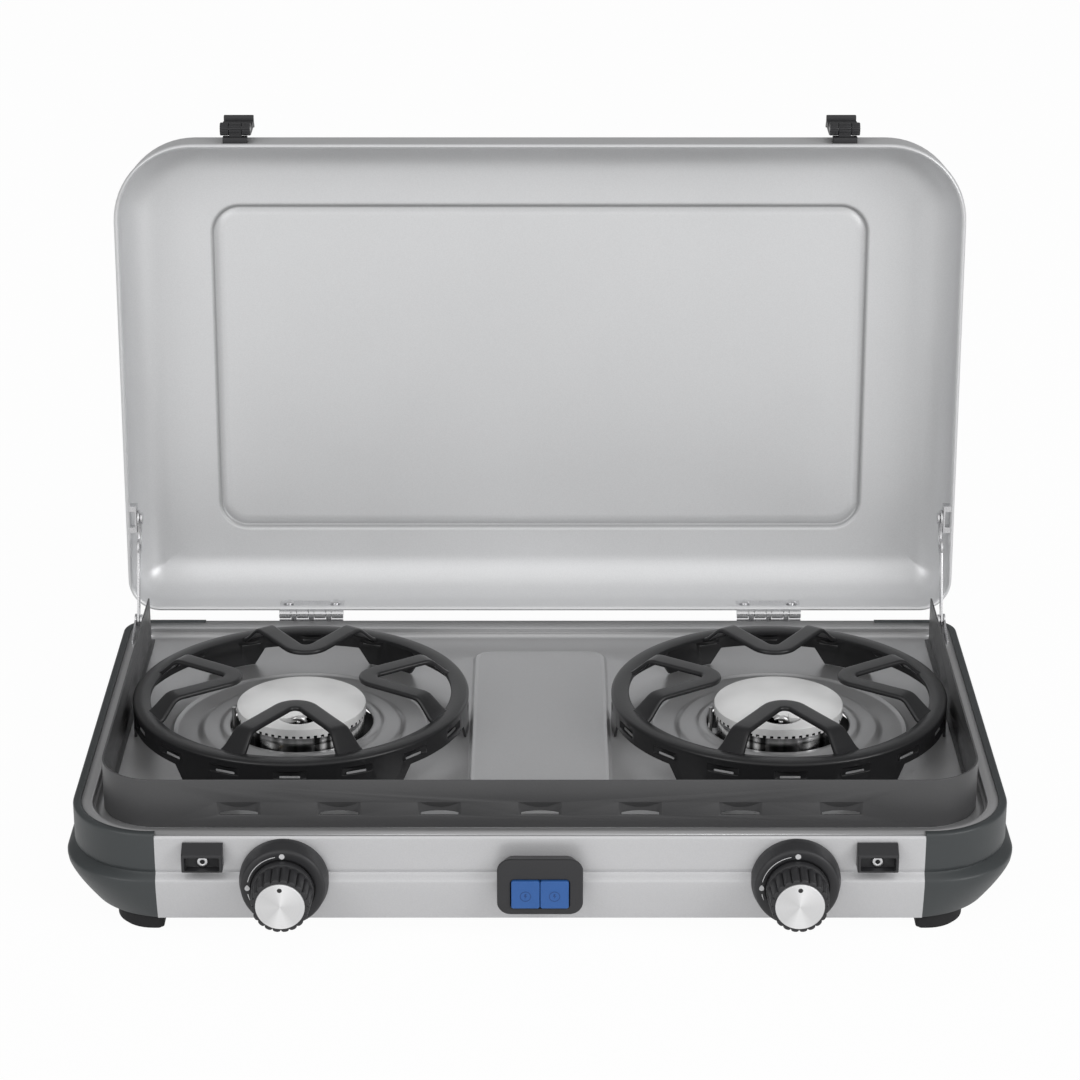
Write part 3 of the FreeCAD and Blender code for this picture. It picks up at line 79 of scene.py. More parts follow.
def middle_of_body() -> float:
    """Y, in metres, of the middle of the body's depth."""
    low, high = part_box("deck")
    return (low[1] + high[1]) / 2


DRAWN = Matrix.Translation((0.0, middle_of_body(), 0.0)) @ Matrix.Scale(MM, 4)


def swing(joint: str, degrees: float) -> Matrix:
    """A turn about a joint's axis line, which runs along X.

    Args:
        joint: the joint's name.
        degrees: the angle about +X.

    Returns:
        The matrix, in the frame's metres.
    """
    centre = Vector(hinge_of(joint)["pos_m"])
    turn = Matrix.Rotation(math.radians(degrees), 4, "X")
    return Matrix.Translation(centre) @ turn @ Matrix.Translation(-centre)


class Place(Enum):
    """Where a piece is drawn."""

    BODY = "body"
    LID = "lid"

    def matrix(self) -> Matrix:
        """From the drawing's millimetres to the frame."""
        return DRAWN if self is Place.BODY else swing("lid_hinge", OPENED) @ DRAWN


# ---- shader maths -----------------------------------------------------------------------------------------
class Value:
    """A socket inside a material, open to plain arithmetic when it holds a number."""

    def __init__(self, tree: "Graph", socket: bpy.types.NodeSocket) -> None:
        """Keeps the graph and the socket."""
        self.tree = tree
        self.socket = socket

    def do(self, operation: str, first: Number, second: Number = 0.0) -> "Value":
        """Adds one Math node."""
        return self.tree.value("ShaderNodeMath", {"operation": operation}, {0: first, 1: second})

    def __add__(self, other: Number) -> "Value":
        """self + other."""
        return self.do("ADD", self, other)

    def __sub__(self, other: Number) -> "Value":
        """self - other."""
        return self.do("SUBTRACT", self, other)

    def __rsub__(self, other: Number) -> "Value":
        """other - self."""
        return self.do("SUBTRACT", other, self)

    def __mul__(self, other: Number) -> "Value":
        """self * other."""
        return self.do("MULTIPLY", self, other)

    def __truediv__(self, other: Number) -> "Value":
        """self / other."""
        return self.do("DIVIDE", self, other)

    def __lt__(self, other: Number) -> "Value":
        """1 where self is less."""
        return self.do("LESS_THAN", self, other)

    def __gt__(self, other: Number) -> "Value":
        """1 where self is greater."""
        return self.do("GREATER_THAN", self, other)

    def __pow__(self, other: Number) -> "Value":
        """self to a power."""
        return self.do("POWER", self, other)

    __radd__ = __add__
    __rmul__ = __mul__


class Graph:
    """Builds the nodes of one node tree, of any kind."""

    def __init__(self, tree: bpy.types.NodeTree) -> None:
        """Empties the tree."""
        self.nodes = tree.nodes
        self.links = tree.links
        self.nodes.clear()

    def node(self, kind: str, settings: Optional[dict[str, Any]] = None,
             inputs: Optional[dict[Any, Any]] = None) -> bpy.types.Node:
        """Adds one node.

        Args:
            kind: the node's type.
            settings: its properties, set first; "stops" gives a ramp's (position, colour) pairs.
            inputs: values or links of its sockets, by name or place.

        Returns:
            The node.
        """
        made = self.nodes.new(kind)
        for key, value in (settings or {}).items():
            if key == "stops":
                ramp = made.color_ramp
                while len(ramp.elements) < len(value):
                    ramp.elements.new(0.5)
                for element, (position, colour) in zip(ramp.elements, value):
                    element.position = position
                    element.color = colour
            else:
                setattr(made, key, value)
        for key, value in (inputs or {}).items():
            if isinstance(value, Value):
                self.links.new(value.socket, made.inputs[key])
            elif value is not None:
                made.inputs[key].default_value = value
        return made

    def value(self, kind: str, settings: Optional[dict[str, Any]] = None,
              inputs: Optional[dict[Any, Any]] = None, output: Union[int, str] = 0) -> Value:
        """Adds one node and gives one of its outputs."""
        return Value(self, self.node(kind, settings, inputs).outputs[output])


class Tree(Graph):
    """Builds the nodes of one material."""

    def __init__(self, name: str) -> None:
        """Makes an empty material."""
        self.material = bpy.data.materials.new(name)
        self.material.use_nodes = True
        super().__init__(self.material.node_tree)
        self.here = self.value("ShaderNodeTexCoord", output="Object")

    def split(self) -> tuple[Value, Value, Value]:
        """The three object coordinates."""
        parts = self.node("ShaderNodeSeparateXYZ", {}, {0: self.here})
        return tuple(Value(self, output) for output in parts.outputs)

    def ramp(self, factor: Value, *stops: tuple[float, float]) -> Value:
        """A number drawn through (position, level) stops."""
        levels = [(position, (level, level, level, 1.0)) for position, level in stops]
        shade = self.value("ShaderNodeValToRGB", {"stops": levels}, {0: factor})
        return self.value("ShaderNodeSeparateColor", {}, {0: shade})

    def mapped(self, stretch: Sequence[float], centre: Sequence[float] = (0, 0, 0)) -> Value:
        """Object coordinates moved to a centre and stretched."""
        moved = [-c * s for c, s in zip(centre, stretch)]
        inputs = {"Vector": self.here, "Location": moved, "Scale": list(stretch)}
        return self.value("ShaderNodeMapping", {}, inputs)

    def noise(self, scale: float, detail: float = 2.0, stretch: Optional[Sequence[float]] = None) -> Value:
        """Noise of a scale per metre, as a number about 0.5."""
        place = self.here if stretch is None else self.mapped(stretch)
        return self.value("ShaderNodeTexNoise", {}, {"Vector": place, "Scale": scale, "Detail": detail})

    def mix(self, factor: Number, first: Any, second: Any) -> Value:
        """A colour between two colours."""
        colours = [c if isinstance(c, Value) else (*c, 1.0) for c in (first, second)]
        inputs = {0: factor, 6: colours[0], 7: colours[1]}
        return self.value("ShaderNodeMix", {"data_type": "RGBA"}, inputs, 2)

    def bump(self, height: Number, strength: float, distance: float) -> Value:
        """A normal from a height."""
        inputs = {"Height": height, "Strength": strength, "Distance": distance}
        return self.value("ShaderNodeBump", {}, inputs)

    def surface(self, colour: Any, roughness: Number, normal: Optional[Value] = None,
                **constants: Any) -> bpy.types.Material:
        """Ends the tree in a principled surface.

        Args:
            colour: the base colour.
            roughness: the roughness.
            normal: the bumped normal, if any.
            constants: numbers for the shader's other sockets, spaces in their names as underscores.

        Returns:
            The material.
        """
        base = colour if isinstance(colour, Value) else (*colour, 1.0)
        inputs = {"Base Color": base, "Roughness": roughness, "Normal": normal}
        inputs.update({key.replace("_", " "): value for key, value in constants.items()})
        shader = self.value("ShaderNodeBsdfPrincipled", {}, inputs)
        self.node("ShaderNodeOutputMaterial", {}, {"Surface": shader})
        return self.material


def times(colour: Colour, by: float) -> Colour:
    """A colour made lighter or darker."""
    return tuple(c * by for c in colour)


# ---- finishes ---------------------------------------------------------------------------------------------
class Grain(Enum):
    """Which way a metal is brushed, as the stretch of its noise."""

    ALONG_X = (6.0, 260.0, 260.0)
    ALONG_Y = (260.0, 6.0, 260.0)
    ALONG_Z = (260.0, 260.0, 6.0)
    EVEN = (120.0, 120.0, 120.0)


@dataclass(frozen=True)
class Finish:
    """A surface finish, with the record's slot that it belongs to."""

    name: str
    slot: str

    def shade(self, tree: Tree) -> bpy.types.Material:
        """Builds the nodes."""
        raise NotImplementedError

    def material(self) -> bpy.types.Material:
        """The finish's material, made once."""
        return bpy.data.materials.get(self.name) or self.shade(Tree(self.name))


@dataclass(frozen=True)
class Paint(Finish):
    """Paint or enamel on pressed steel: fine flakes, faint clouding and a slight orange peel."""

    colour: Colour
    metallic: float
    roughness: float
    flake: float = 0.06
    peel: float = 0.05
    coat: float = 0.0
    shine: float = 0.5

    def painted_crease_shade(self, tree: Tree) -> Number:
        """How much painted shade darkens the colour; none on a plain pressing."""
        return 0.0

    def shade(self, tree: Tree) -> bpy.types.Material:
        """Flakes in the colour, clouding in the gloss, orange peel in the normal."""
        flakes = tree.value("ShaderNodeTexVoronoi", {}, {"Vector": tree.here, "Scale": 2600.0}, "Color")
        flake = tree.value("ShaderNodeSeparateColor", {}, {0: flakes})
        cloud = tree.noise(9.0, 3.0)
        # painted shade along a crease is taken off the colour here
        shade = (flake - 0.5) * self.flake + (cloud - 0.5) * 0.08 + 0.5 - self.painted_crease_shade(tree)
        colour = tree.mix(shade, times(self.colour, 0.5), times(self.colour, 1.5))
        roughness = (cloud - 0.5) * 0.10 + self.roughness
        normal = tree.bump(tree.noise(700.0, 2.0), self.peel, 0.0004)
        return tree.surface(colour, roughness, normal, Metallic=self.metallic, Coat_Weight=self.coat,
                            Coat_Roughness=0.08, Specular_IOR_Level=self.shine)


@dataclass(frozen=True)
class LidPaint(Paint):
    """Lid paint with painted shade: darker along the pressed crease, where shade falls.

    Attributes:
        shade_depth: how much darker the painted shade is at its darkest.
        inside: millimetres inside the crease at which the fade starts.
        span: millimetres that the fade runs over.
        fade: the fade's (place along the span, strength) stops.
    """

    shade_depth: float = 0.36
    inside: float = 8.0
    span: float = 12.0
    fade: Profile = (
        (0.08, 0.0), (0.33, 0.2), (0.54, 0.6), (0.66, 1.0), (0.74, 0.95), (0.83, 0.0))

    def painted_crease_shade(self, tree: Tree) -> Number:
        """Painted shade: darkest in the crease and fading inwards, by the distance from the pressed
        rectangle's outline.
        """
        x, y, z = tree.split()
        back = Place.LID.matrix().inverted()
        along = y * back[1][1] + z * back[1][2] + back[1][3]
        radius = Lid.emboss_r
        middle = (Lid.emboss_front + Lid.emboss_rear) / 2
        across = x.do("ABSOLUTE", x) / MM - (Lid.emboss_half - radius)
        off = along - middle
        deep = off.do("ABSOLUTE", off) - (Lid.emboss_rear - middle - radius)
        corner = (across.do("MAXIMUM", across, 0.0) ** 2 + deep.do("MAXIMUM", deep, 0.0) ** 2) ** 0.5
        longest = across.do("MAXIMUM", across, deep)
        distance = corner + longest.do("MINIMUM", longest, 0.0) - radius
        return tree.ramp((distance + self.inside) / self.span, *self.fade) * self.shade_depth


@dataclass(frozen=True)
class Plastic(Finish):
    """Moulded plastic or rubber with a fine spark-eroded grain."""

    colour: Colour
    roughness: float
    grain: float = 0.12
    scale: float = 1500.0
    shine: float = 0.4

    def shade(self, tree: Tree) -> bpy.types.Material:
        """Grain in the normal and faint mottling in colour and gloss."""
        cloud = tree.noise(25.0, 4.0)
        grain = tree.noise(self.scale, 3.0)
        colour = tree.mix(cloud, times(self.colour, 0.9), times(self.colour, 1.1))
        roughness = (grain - 0.5) * 0.2 + (cloud - 0.5) * 0.1 + self.roughness
        normal = tree.bump(grain, self.grain, 0.0003)
        return tree.surface(colour, roughness, normal, Specular_IOR_Level=self.shine)


@dataclass(frozen=True)
class Metal(Finish):
    """Bare metal, brushed one way."""

    colour: Colour
    roughness: float
    grain: Grain = Grain.EVEN
    brushing: float = 0.12

    def shade(self, tree: Tree) -> bpy.types.Material:
        """Brush lines in gloss and normal, and faint stains."""
        lines = tree.noise(12.0, 3.0, self.grain.value)
        stain = tree.noise(45.0, 4.0)
        colour = tree.mix(stain, times(self.colour, 0.93), times(self.colour, 1.05))
        roughness = (lines - 0.5) * 0.18 + (stain - 0.5) * 0.12 + self.roughness
        return tree.surface(colour, roughness, tree.bump(lines, self.brushing, 0.0002), Metallic=1.0)


@dataclass(frozen=True)
class BurnerMetal(Finish):
    """Burner metal: bright outside, near-black within a radius and below a height, with dark upright bands
    painted in as reflections.
    """

    colour: Colour
    roughness: float
    metallic: float
    dark_r: float
    dark_below: float
    painted_reflection_bands: float = 0.0

    def shade(self, tree: Tree) -> bpy.types.Material:
        """Splits the near-black zone and the metal by the distance to the nearer burner's axis."""
        x, y, z = tree.split()
        across = x.do("ABSOLUTE", x) - Deck.burner_x * MM
        along = y - (middle_of_body() + Deck.burner_y * MM)
        reach = (across * across + along * along) ** 0.5
        heading = tree.value("ShaderNodeCombineXYZ", {}, {0: across / reach, 1: along / reach})
        # painted reflection: dark upright bands in the colour, set by the heading about the burner's axis
        reflection_streak = tree.value("ShaderNodeTexNoise", {}, {"Vector": heading, "Scale": 4.2, "Detail": 1.0})
        deep, faint = 1.0 - self.painted_reflection_bands, 1.0 - self.painted_reflection_bands * 0.35
        painted_reflection_bands = tree.ramp(reflection_streak, (0.38, deep), (0.5, 1.0), (0.56, faint), (0.66, 1.0))
        cloud = tree.noise(60.0, 4.0)
        bright = tree.mix(cloud, times(self.colour, 0.92), times(self.colour, 1.05))
        painted_reflections = tree.mix(painted_reflection_bands, (0.012, 0.012, 0.012), bright)
        # near-black within a radius of the axis and below a height
        dark_zone = (reach < self.dark_r * MM) * (z < self.dark_below * MM)
        colour = tree.mix(dark_zone, painted_reflections, (0.008, 0.008, 0.008))
        roughness = (cloud - 0.5) * 0.15 + dark_zone * 0.4 + self.roughness
        normal = tree.bump(tree.noise(900.0), 0.05, 0.0002)
        return tree.surface(colour, roughness, normal, Metallic=self.metallic)


@dataclass(frozen=True)
class TurnedDisc(Finish):
    """A metal disc with fine turned rings about an axis along Y, fanned highlights and a dark index dot."""

    colour: Colour
    roughness: float
    centre: tuple[float, float, float]
    dot_out: float = 9.4
    dot_r: float = 1.25
    highlights: Profile = (
        (0.0, 0.34), (0.13, 0.22), (0.22, 0.8), (0.29, 0.75), (0.36, 0.3), (0.5, 0.32), (0.62, 0.62),
        (0.72, 0.95), (0.8, 0.4), (0.9, 0.2), (1.0, 0.34))

    def shade(self, tree: Tree) -> bpy.types.Material:
        """Rings from the distance to the axis, highlights from the angle about it."""
        x, _, z = tree.split()
        across = x - self.centre[0]
        up = z - self.centre[2]
        reach = (across * across + up * up) ** 0.5
        rings = tree.value("ShaderNodeTexNoise", {"noise_dimensions": "1D"},
                           {"W": reach, "Scale": 3200.0, "Detail": 2.0})
        angle = up.do("ARCTAN2", up, across) / math.tau + 0.5
        fan = tree.ramp(angle, *self.highlights)
        high = up - self.dot_out * MM
        dot = (across * across + high * high) < (self.dot_r * MM) ** 2
        shade = tree.mix((rings - 0.5) * 0.35 + fan, times(self.colour, 0.72), times(self.colour, 1.12))
        colour = tree.mix(dot, shade, (0.01, 0.01, 0.01))
        return tree.surface(colour, (rings - 0.5) * 0.2 + self.roughness, tree.bump(rings, 0.3, 0.0002),
                            Metallic=dot * -0.55 + 0.55)


@dataclass(frozen=True)
class Ceramic(Finish):
    """The igniter's white ceramic below and bare wire above a height in metres."""

    colour: Colour
    wire: Colour
    height: float

    def shade(self, tree: Tree) -> bpy.types.Material:
        """Splits ceramic and wire by height."""
        above = tree.split()[2] > self.height
        grime = tree.noise(400.0, 4.0)
        colour = tree.mix(above, tree.mix(grime, self.colour, times(self.colour, 0.8)), self.wire)
        return tree.surface(colour, above * -0.1 + 0.4, Metallic=above)


# the lid's paint carries painted shade along its pressed crease
SILVER_LID = LidPaint("lid silver paint", "silver_lid", (0.66, 0.664, 0.672), 0.42, 0.42)
SILVER_PANEL = Paint("panel silver paint", "silver_panel", (0.56, 0.56, 0.57), 0.35, 0.38)
DECK_GREY = Paint("deck grey", "deck_grey", (0.42, 0.42, 0.425), 0.55, 0.33)
SCREEN_GREY = Paint("windscreen grey", "screen_grey", (0.082, 0.082, 0.084), 0.3, 0.42)
ENAMEL = Paint("black enamel", "black_enamel", (0.014, 0.014, 0.015), 0.0, 0.34, flake=0.1, peel=0.08,
               coat=0.12, shine=0.3)
# black for the plate under each burner cap: painted shade
SHADE_BLACK = Paint("burner painted shade black", "black_enamel", (0.008, 0.008, 0.008), 0.0, 0.6, flake=0.1, peel=0.1)
CAP_PLASTIC = Plastic("end cap plastic", "cap_plastic", (0.046, 0.051, 0.053), 0.42)
DARK_PLASTIC = Plastic("dark plastic", "dark_plastic", (0.027, 0.027, 0.029), 0.45)
BLUE_PLASTIC = Plastic("blue plastic", "blue_plastic", (0.03, 0.11, 0.34), 0.38, grain=0.06)
ICON_BLUE = Plastic("blue icons", "blue_plastic", (0.018, 0.06, 0.2), 0.5, grain=0.06)
RUBBER = Plastic("black rubber", "rubber", (0.02, 0.02, 0.021), 0.7, grain=0.25, scale=900.0, shine=0.2)
BRIGHT_STEEL = Metal("bright steel", "bright_steel", (0.66, 0.66, 0.67), 0.28, Grain.ALONG_Z)
TUBE_STEEL = Metal("tube steel", "tube_steel", (0.5, 0.5, 0.5), 0.35, Grain.EVEN)
BRASS = Metal("brass", "brass", (0.62, 0.46, 0.21), 0.3, Grain.ALONG_Y)
# the cup's dark upright bands are painted reflections
CUP_STEEL = BurnerMetal("polished cup steel", "burner_alloy", (0.62, 0.62, 0.62), 0.2, 1.0, dark_r=33.2,
                        dark_below=90.0, painted_reflection_bands=0.97)
CAP_ALLOY = BurnerMetal("burner cap alloy", "burner_alloy", (0.9, 0.9, 0.895), 0.42, 0.25, dark_r=35.45,
                        dark_below=63.2)
IGNITER = Ceramic("igniter ceramic", "bright_steel", (0.75, 0.74, 0.7), (0.7, 0.7, 0.7), height=0.0585)
PRINT = Plastic("pale print", "dark_plastic", (0.62, 0.62, 0.63), 0.6, grain=0.02, shine=0.2)


# ---- mesh making ------------------------------------------------------------------------------------------
def dress(piece: bpy.types.Object, finish: Finish, body: str,
          replaces: Iterable[str] = ()) -> bpy.types.Object:
    """Gives a piece its finish and the body that it rides on.

    Args:
        piece: the object.
        finish: its finish.
        body: the body's name.
        replaces: nodes that it stands for.

    Returns:
        The same object.
    """
    piece.data.materials.clear()
    piece.data.materials.append(finish.material())
    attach(piece, body)
    if replaces:
        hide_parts(*replaces)
    log.info("%s: %d faces on %s", piece.name, len(piece.data.polygons), body)
    return piece


def into_object(name: str, build: bmesh.types.BMesh, smooth: float) -> bpy.types.Object:
    """Turns a built mesh into an object with smooth faces that stay sharp past an angle."""
    mesh = bpy.data.meshes.new(name)
    build.to_mesh(mesh)
    build.free()
    mesh.shade_smooth()
    mesh.set_sharp_from_angle(angle=math.radians(smooth))
    piece = bpy.data.objects.new(name, mesh)
    bpy.context.scene.collection.objects.link(piece)
    return piece


def round_edges(piece: bpy.types.Object, width: float, angle: float = 35.0, segments: int = 2) -> None:
    """Rounds a piece's sharp edges by a width in millimetres."""
    bevel = piece.modifiers.new("rounded edges", "BEVEL")
    bevel.width = width * MM
    bevel.segments = segments
    bevel.limit_method = "ANGLE"
    bevel.angle_limit = math.radians(angle)
    bevel.use_clamp_overlap = False
    bevel.harden_normals = True
    bevel.miter_outer = "MITER_ARC"


class Shell:
    """Gathers the loops and faces of one piece, in the drawing's millimetres."""

    def __init__(self) -> None:
        """Starts empty."""
        self.points: list[Vector] = []
        self.faces: list[list[int]] = []

    def ring(self, points: Iterable[Sequence[float]]) -> list[int]:
        """Adds points and gives their places."""
        start = len(self.points)
        self.points += [Vector(p) for p in points]
        return list(range(start, len(self.points)))

    def bridge(self, first: list[int], second: list[int], closed: bool = True) -> None:
        """Joins two rings of one length by quads."""
        count = len(first)
        for i in range(count if closed else count - 1):
            j = (i + 1) % count
            self.faces.append([first[i], first[j], second[j], second[i]])

    def loft(self, loops: Sequence[Iterable[Sequence[float]]], closed: bool = True, ends: bool = False,
             round_trip: bool = False) -> list[list[int]]:
        """Skins loops in order.

        Args:
            loops: loops of one length.
            closed: whether each loop is closed.
            ends: whether the first and last loops are filled.
            round_trip: whether the last loop joins the first.

        Returns:
            The rings.
        """
        rings = [self.ring(loop) for loop in loops]
        for first, second in zip(rings, rings[1:]):
            self.bridge(first, second, closed)
        if round_trip:
            self.bridge(rings[-1], rings[0], closed)
        if ends:
            self.faces += [rings[0], rings[-1]]
        return rings

    def turned(self, profile: Sequence[tuple[float, float]], centre: Sequence[float], axis: str = "Z",
               count: int = 48) -> None:
        """A turned form from (radius, along) points about an axis through a centre."""
        loops = []
        for radius, along in profile:
            loop = []
            for i in range(count):
                angle = math.tau * i / count
                a, b = radius * math.cos(angle), radius * math.sin(angle)
                step = Vector((a, b, along)) if axis == "Z" else Vector((a, along, b))
                loop.append(Vector(centre) + step)
            loops.append(loop)
        self.loft(loops, ends=profile[0][0] > 0 and profile[-1][0] > 0 and profile[0] != profile[-1])

    def fill(self, outer: Plan, holes: Sequence[Plan], z: float) -> None:
        """Fills a flat region of the plan between an outline and its holes."""
        points: list[Vector] = []
        edges = []
        for loop in (outer, *holes):
            start = len(points)
            points += [Vector(p) for p in loop]
            edges += [(start + i, start + (i + 1) % len(loop)) for i in range(len(loop))]
        found, _, triangles, *_ = delaunay_2d_cdt(points, edges, [], 0, 1e-5)
        ring = self.ring((p.x, p.y, z) for p in found)
        for triangle in triangles:
            middle = sum((found[i] for i in triangle), Vector((0.0, 0.0))) / len(triangle)
            if inside(middle, outer) and not any(inside(middle, hole) for hole in holes):
                self.faces.append([ring[i] for i in triangle])

    def build(self, name: str, finish: Finish, body: str, replaces: Iterable[str] = (), smooth: float = 35.0,
              place: Place = Place.BODY, mirrored: bool = False) -> bpy.types.Object:
        """Makes the object.

        Args:
            name: the piece's name.
            finish: its finish.
            body: the body that it rides on.
            replaces: nodes that it stands for.
            smooth: edges sharper than this many degrees stay sharp.
            place: where it is drawn.
            mirrored: whether it is mirrored to the other side.

        Returns:
            The object.
        """
        matrix = place.matrix() @ (Matrix.Scale(-1, 4, (1, 0, 0)) if mirrored else Matrix())
        return dress(into_object(name, self.mesh(matrix), smooth), finish, body, replaces)

    def mesh(self, matrix: Matrix) -> bmesh.types.BMesh:
        """The gathered faces, placed by a matrix, with shared corners and outward faces."""
        build = bmesh.new()
        points = [build.verts.new(matrix @ p) for p in self.points]
        for face in self.faces:
            build.faces.new([points[i] for i in face])
        one_point = ONE_POINT * (MM if matrix.median_scale < 0.1 else 1.0)
        bmesh.ops.remove_doubles(build, verts=build.verts[:], dist=one_point)
        bmesh.ops.delete(build, geom=[v for v in build.verts if not v.link_faces], context="VERTS")
        bmesh.ops.recalc_face_normals(build, faces=build.faces[:])
        return build

    def tube(self, path: Sequence[Sequence[float]], radii: Sequence[float], count: int = 12) -> None:
        """A round bar along a path, with a radius at each of its points."""
        spots = [Vector(p) for p in path]
        loops = []
        for i, (spot, radius) in enumerate(zip(spots, radii)):
            ahead = (spots[min(i + 1, len(spots) - 1)] - spots[max(i - 1, 0)]).normalized()
            side = ahead.cross(Vector((0.0, 1.0, 0.01))).normalized()
            up = ahead.cross(side)
            loops.append([spot + side * radius * math.cos(math.tau * k / count)
                          + up * radius * math.sin(math.tau * k / count) for k in range(count)])
        self.loft(loops, ends=True)


def inside(point: Vector, loop: Plan) -> bool:
    """Whether a point of the plan is inside a closed loop."""
    found = False
    for (x0, y0), (x1, y1) in zip(loop, loop[1:] + loop[:1]):
        if (y0 > point.y) != (y1 > point.y) and point.x < (x1 - x0) * (point.y - y0) / (y1 - y0) + x0:
            found = not found
    return found


def between(start: tuple[float, float], end: tuple[float, float], steps: int) -> Plan:
    """The points that divide a stretch of the plan into equal steps, without its ends."""
    (ax, ay), (bx, by) = start, end
    return [(ax + (bx - ax) * k / steps, ay + (by - ay) * k / steps) for k in range(1, steps)]


def rounded_rect(half: float, y0: float, y1: float, r_front: float, r_rear: float, corner: int = 14,
                 side: int = 1) -> Plan:
    """A rectangle symmetric about X = 0 with rounded corners, always of the same count of points.

    Args:
        half: half its width.
        y0: its front.
        y1: its rear.
        r_front: radius of the front corners.
        r_rear: radius of the rear corners.
        corner: steps round each corner.
        side: steps along each side.

    Returns:
        The points, anticlockwise from the front left.
    """
    corners = [(-half, y0, r_front, 180), (half, y0, r_front, 270),
               (half, y1, r_rear, 0), (-half, y1, r_rear, 90)]
    points: Plan = []
    for x, y, radius, start in corners:
        radius = max(radius, 0.01)
        cx = x - math.copysign(radius, x)
        cy = y + radius if y == y0 else y - radius
        arc = []
        for i in range(corner + 1):
            angle = math.radians(start + 90 * i / corner)
            arc.append((cx + radius * math.cos(angle), cy + radius * math.sin(angle)))
        if points:
            points += between(points[-1], arc[0], side)
        points += arc
    return points + between(points[-1], points[0], side)


def circle(x: float, y: float, radius: float, count: int = 96) -> Plan:
    """A circle on the plan."""
    return [(x + radius * math.cos(math.tau * i / count), y + radius * math.sin(math.tau * i / count))
            for i in range(count)]


def lifted(plan: Plan, z: float) -> list[tuple[float, float, float]]:
    """A plan at a height."""
    return [(x, y, z) for x, y in plan]


def upended(plan: Plan, y: float, z: float = 0.0) -> list[tuple[float, float, float]]:
    """A plan stood upright, facing the front, at a depth and a height."""
    return [(px, y, z + pz) for px, pz in plan]


def endways(plan: Plan, x: float, y: float = 0.0, z: float = 0.0) -> list[tuple[float, float, float]]:
    """A plan stood across X, moved by y and z."""
    return [(x, y + py, z + pz) for py, pz in plan]


@dataclass(frozen=True)
class Repeat:
    """Copies of a small form, set out by Geometry Nodes round an axis along Z or in a row.

    Attributes:
        count: how many copies.
        radius: how far the first copy stands from the axis, towards +X.
        start: degrees before the first copy.
        turn: degrees from copy to copy.
        step: shift from copy to copy.
    """

    count: int
    radius: float = 0.0
    start: float = 0.0
    turn: float = 0.0
    step: tuple[float, float, float] = (0.0, 0.0, 0.0)

    @staticmethod
    def group() -> bpy.types.NodeTree:
        """The node group behind every repeat, made once."""
        name = "repeat a form"
        if name in bpy.data.node_groups:
            return bpy.data.node_groups[name]
        tree = bpy.data.node_groups.new(name, "GeometryNodeTree")
        kinds = {"Geometry": "Geometry", "Form": "Object", "Count": "Int", "Radius": "Float",
                 "Start": "Float", "Turn": "Float", "Step": "Vector", "Finish": "Material"}
        for title, kind in kinds.items():
            tree.interface.new_socket(title, in_out="INPUT", socket_type="NodeSocket" + kind)
        tree.interface.new_socket("Geometry", in_out="OUTPUT", socket_type="NodeSocketGeometry")
        graph = Graph(tree)
        given = graph.node("NodeGroupInput")
        socket = {output.name: Value(graph, output) for output in given.outputs if output.name}
        index = graph.value("GeometryNodeInputIndex")
        angle = socket["Start"] + socket["Turn"] * index
        across = socket["Radius"] * angle.do("COSINE", angle)
        up = socket["Radius"] * angle.do("SINE", angle)
        arm = graph.value("ShaderNodeCombineXYZ", {}, {0: across, 1: up})
        shift = graph.value("ShaderNodeVectorMath", {"operation": "SCALE"},
                            {0: socket["Step"], "Scale": index})
        place = graph.value("ShaderNodeVectorMath", {"operation": "ADD"}, {0: arm, 1: shift})
        points = graph.value("GeometryNodePoints", {}, {"Count": socket["Count"], "Position": place})
        form = graph.value("GeometryNodeObjectInfo", {}, {"Object": socket["Form"]}, "Geometry")
        facing = graph.value("ShaderNodeCombineXYZ", {}, {2: angle})
        copies = graph.value("GeometryNodeInstanceOnPoints", {},
                             {"Points": points, "Instance": form, "Rotation": facing})
        whole = graph.value("GeometryNodeRealizeInstances", {}, {"Geometry": copies})
        done = graph.value("GeometryNodeSetMaterial", {}, {"Geometry": whole, "Material": socket["Finish"]})
        graph.node("NodeGroupOutput", {}, {"Geometry": done})
        return tree

    def build(self, name: str, form: Shell, finish: Finish, body: str, matrix: Matrix,
              smooth: float = 35.0) -> bpy.types.Object:
        """Makes one piece of all the copies.

        Args:
            name: the piece's name.
            form: the form, in millimetres.
            finish: its finish.
            body: the body that it rides on.
            matrix: from the pattern's own millimetres to the frame.
            smooth: edges sharper than this many degrees stay sharp.

        Returns:
            The piece.
        """
        source = into_object("form", form.mesh(Matrix()), smooth)
        holder = bpy.data.objects.new("holder", bpy.data.meshes.new("holder"))
        bpy.context.scene.collection.objects.link(holder)
        modifier = holder.modifiers.new("repeat", "NODES")
        modifier.node_group = self.group()
        values = {"Form": source, "Count": self.count, "Radius": self.radius, "Step": self.step,
                  "Start": math.radians(self.start), "Turn": math.radians(self.turn),
                  "Finish": finish.material()}
        for item in modifier.node_group.interface.items_tree:
            if item.in_out == "INPUT" and item.name in values:
                modifier[item.identifier] = values[item.name]
        holder.update_tag()
        depsgraph = bpy.context.evaluated_depsgraph_get()
        mesh = bpy.data.meshes.new_from_object(holder.evaluated_get(depsgraph), depsgraph=depsgraph)
        holder.modifiers.remove(modifier)
        bpy.data.objects.remove(holder)
        bpy.data.objects.remove(source)
        mesh.transform(matrix)
        if matrix.determinant() < 0:
            mesh.flip_normals()
        mesh.name = name
        piece = bpy.data.objects.new(name, mesh)
        bpy.context.scene.collection.objects.link(piece)
        return dress(piece, finish, body)


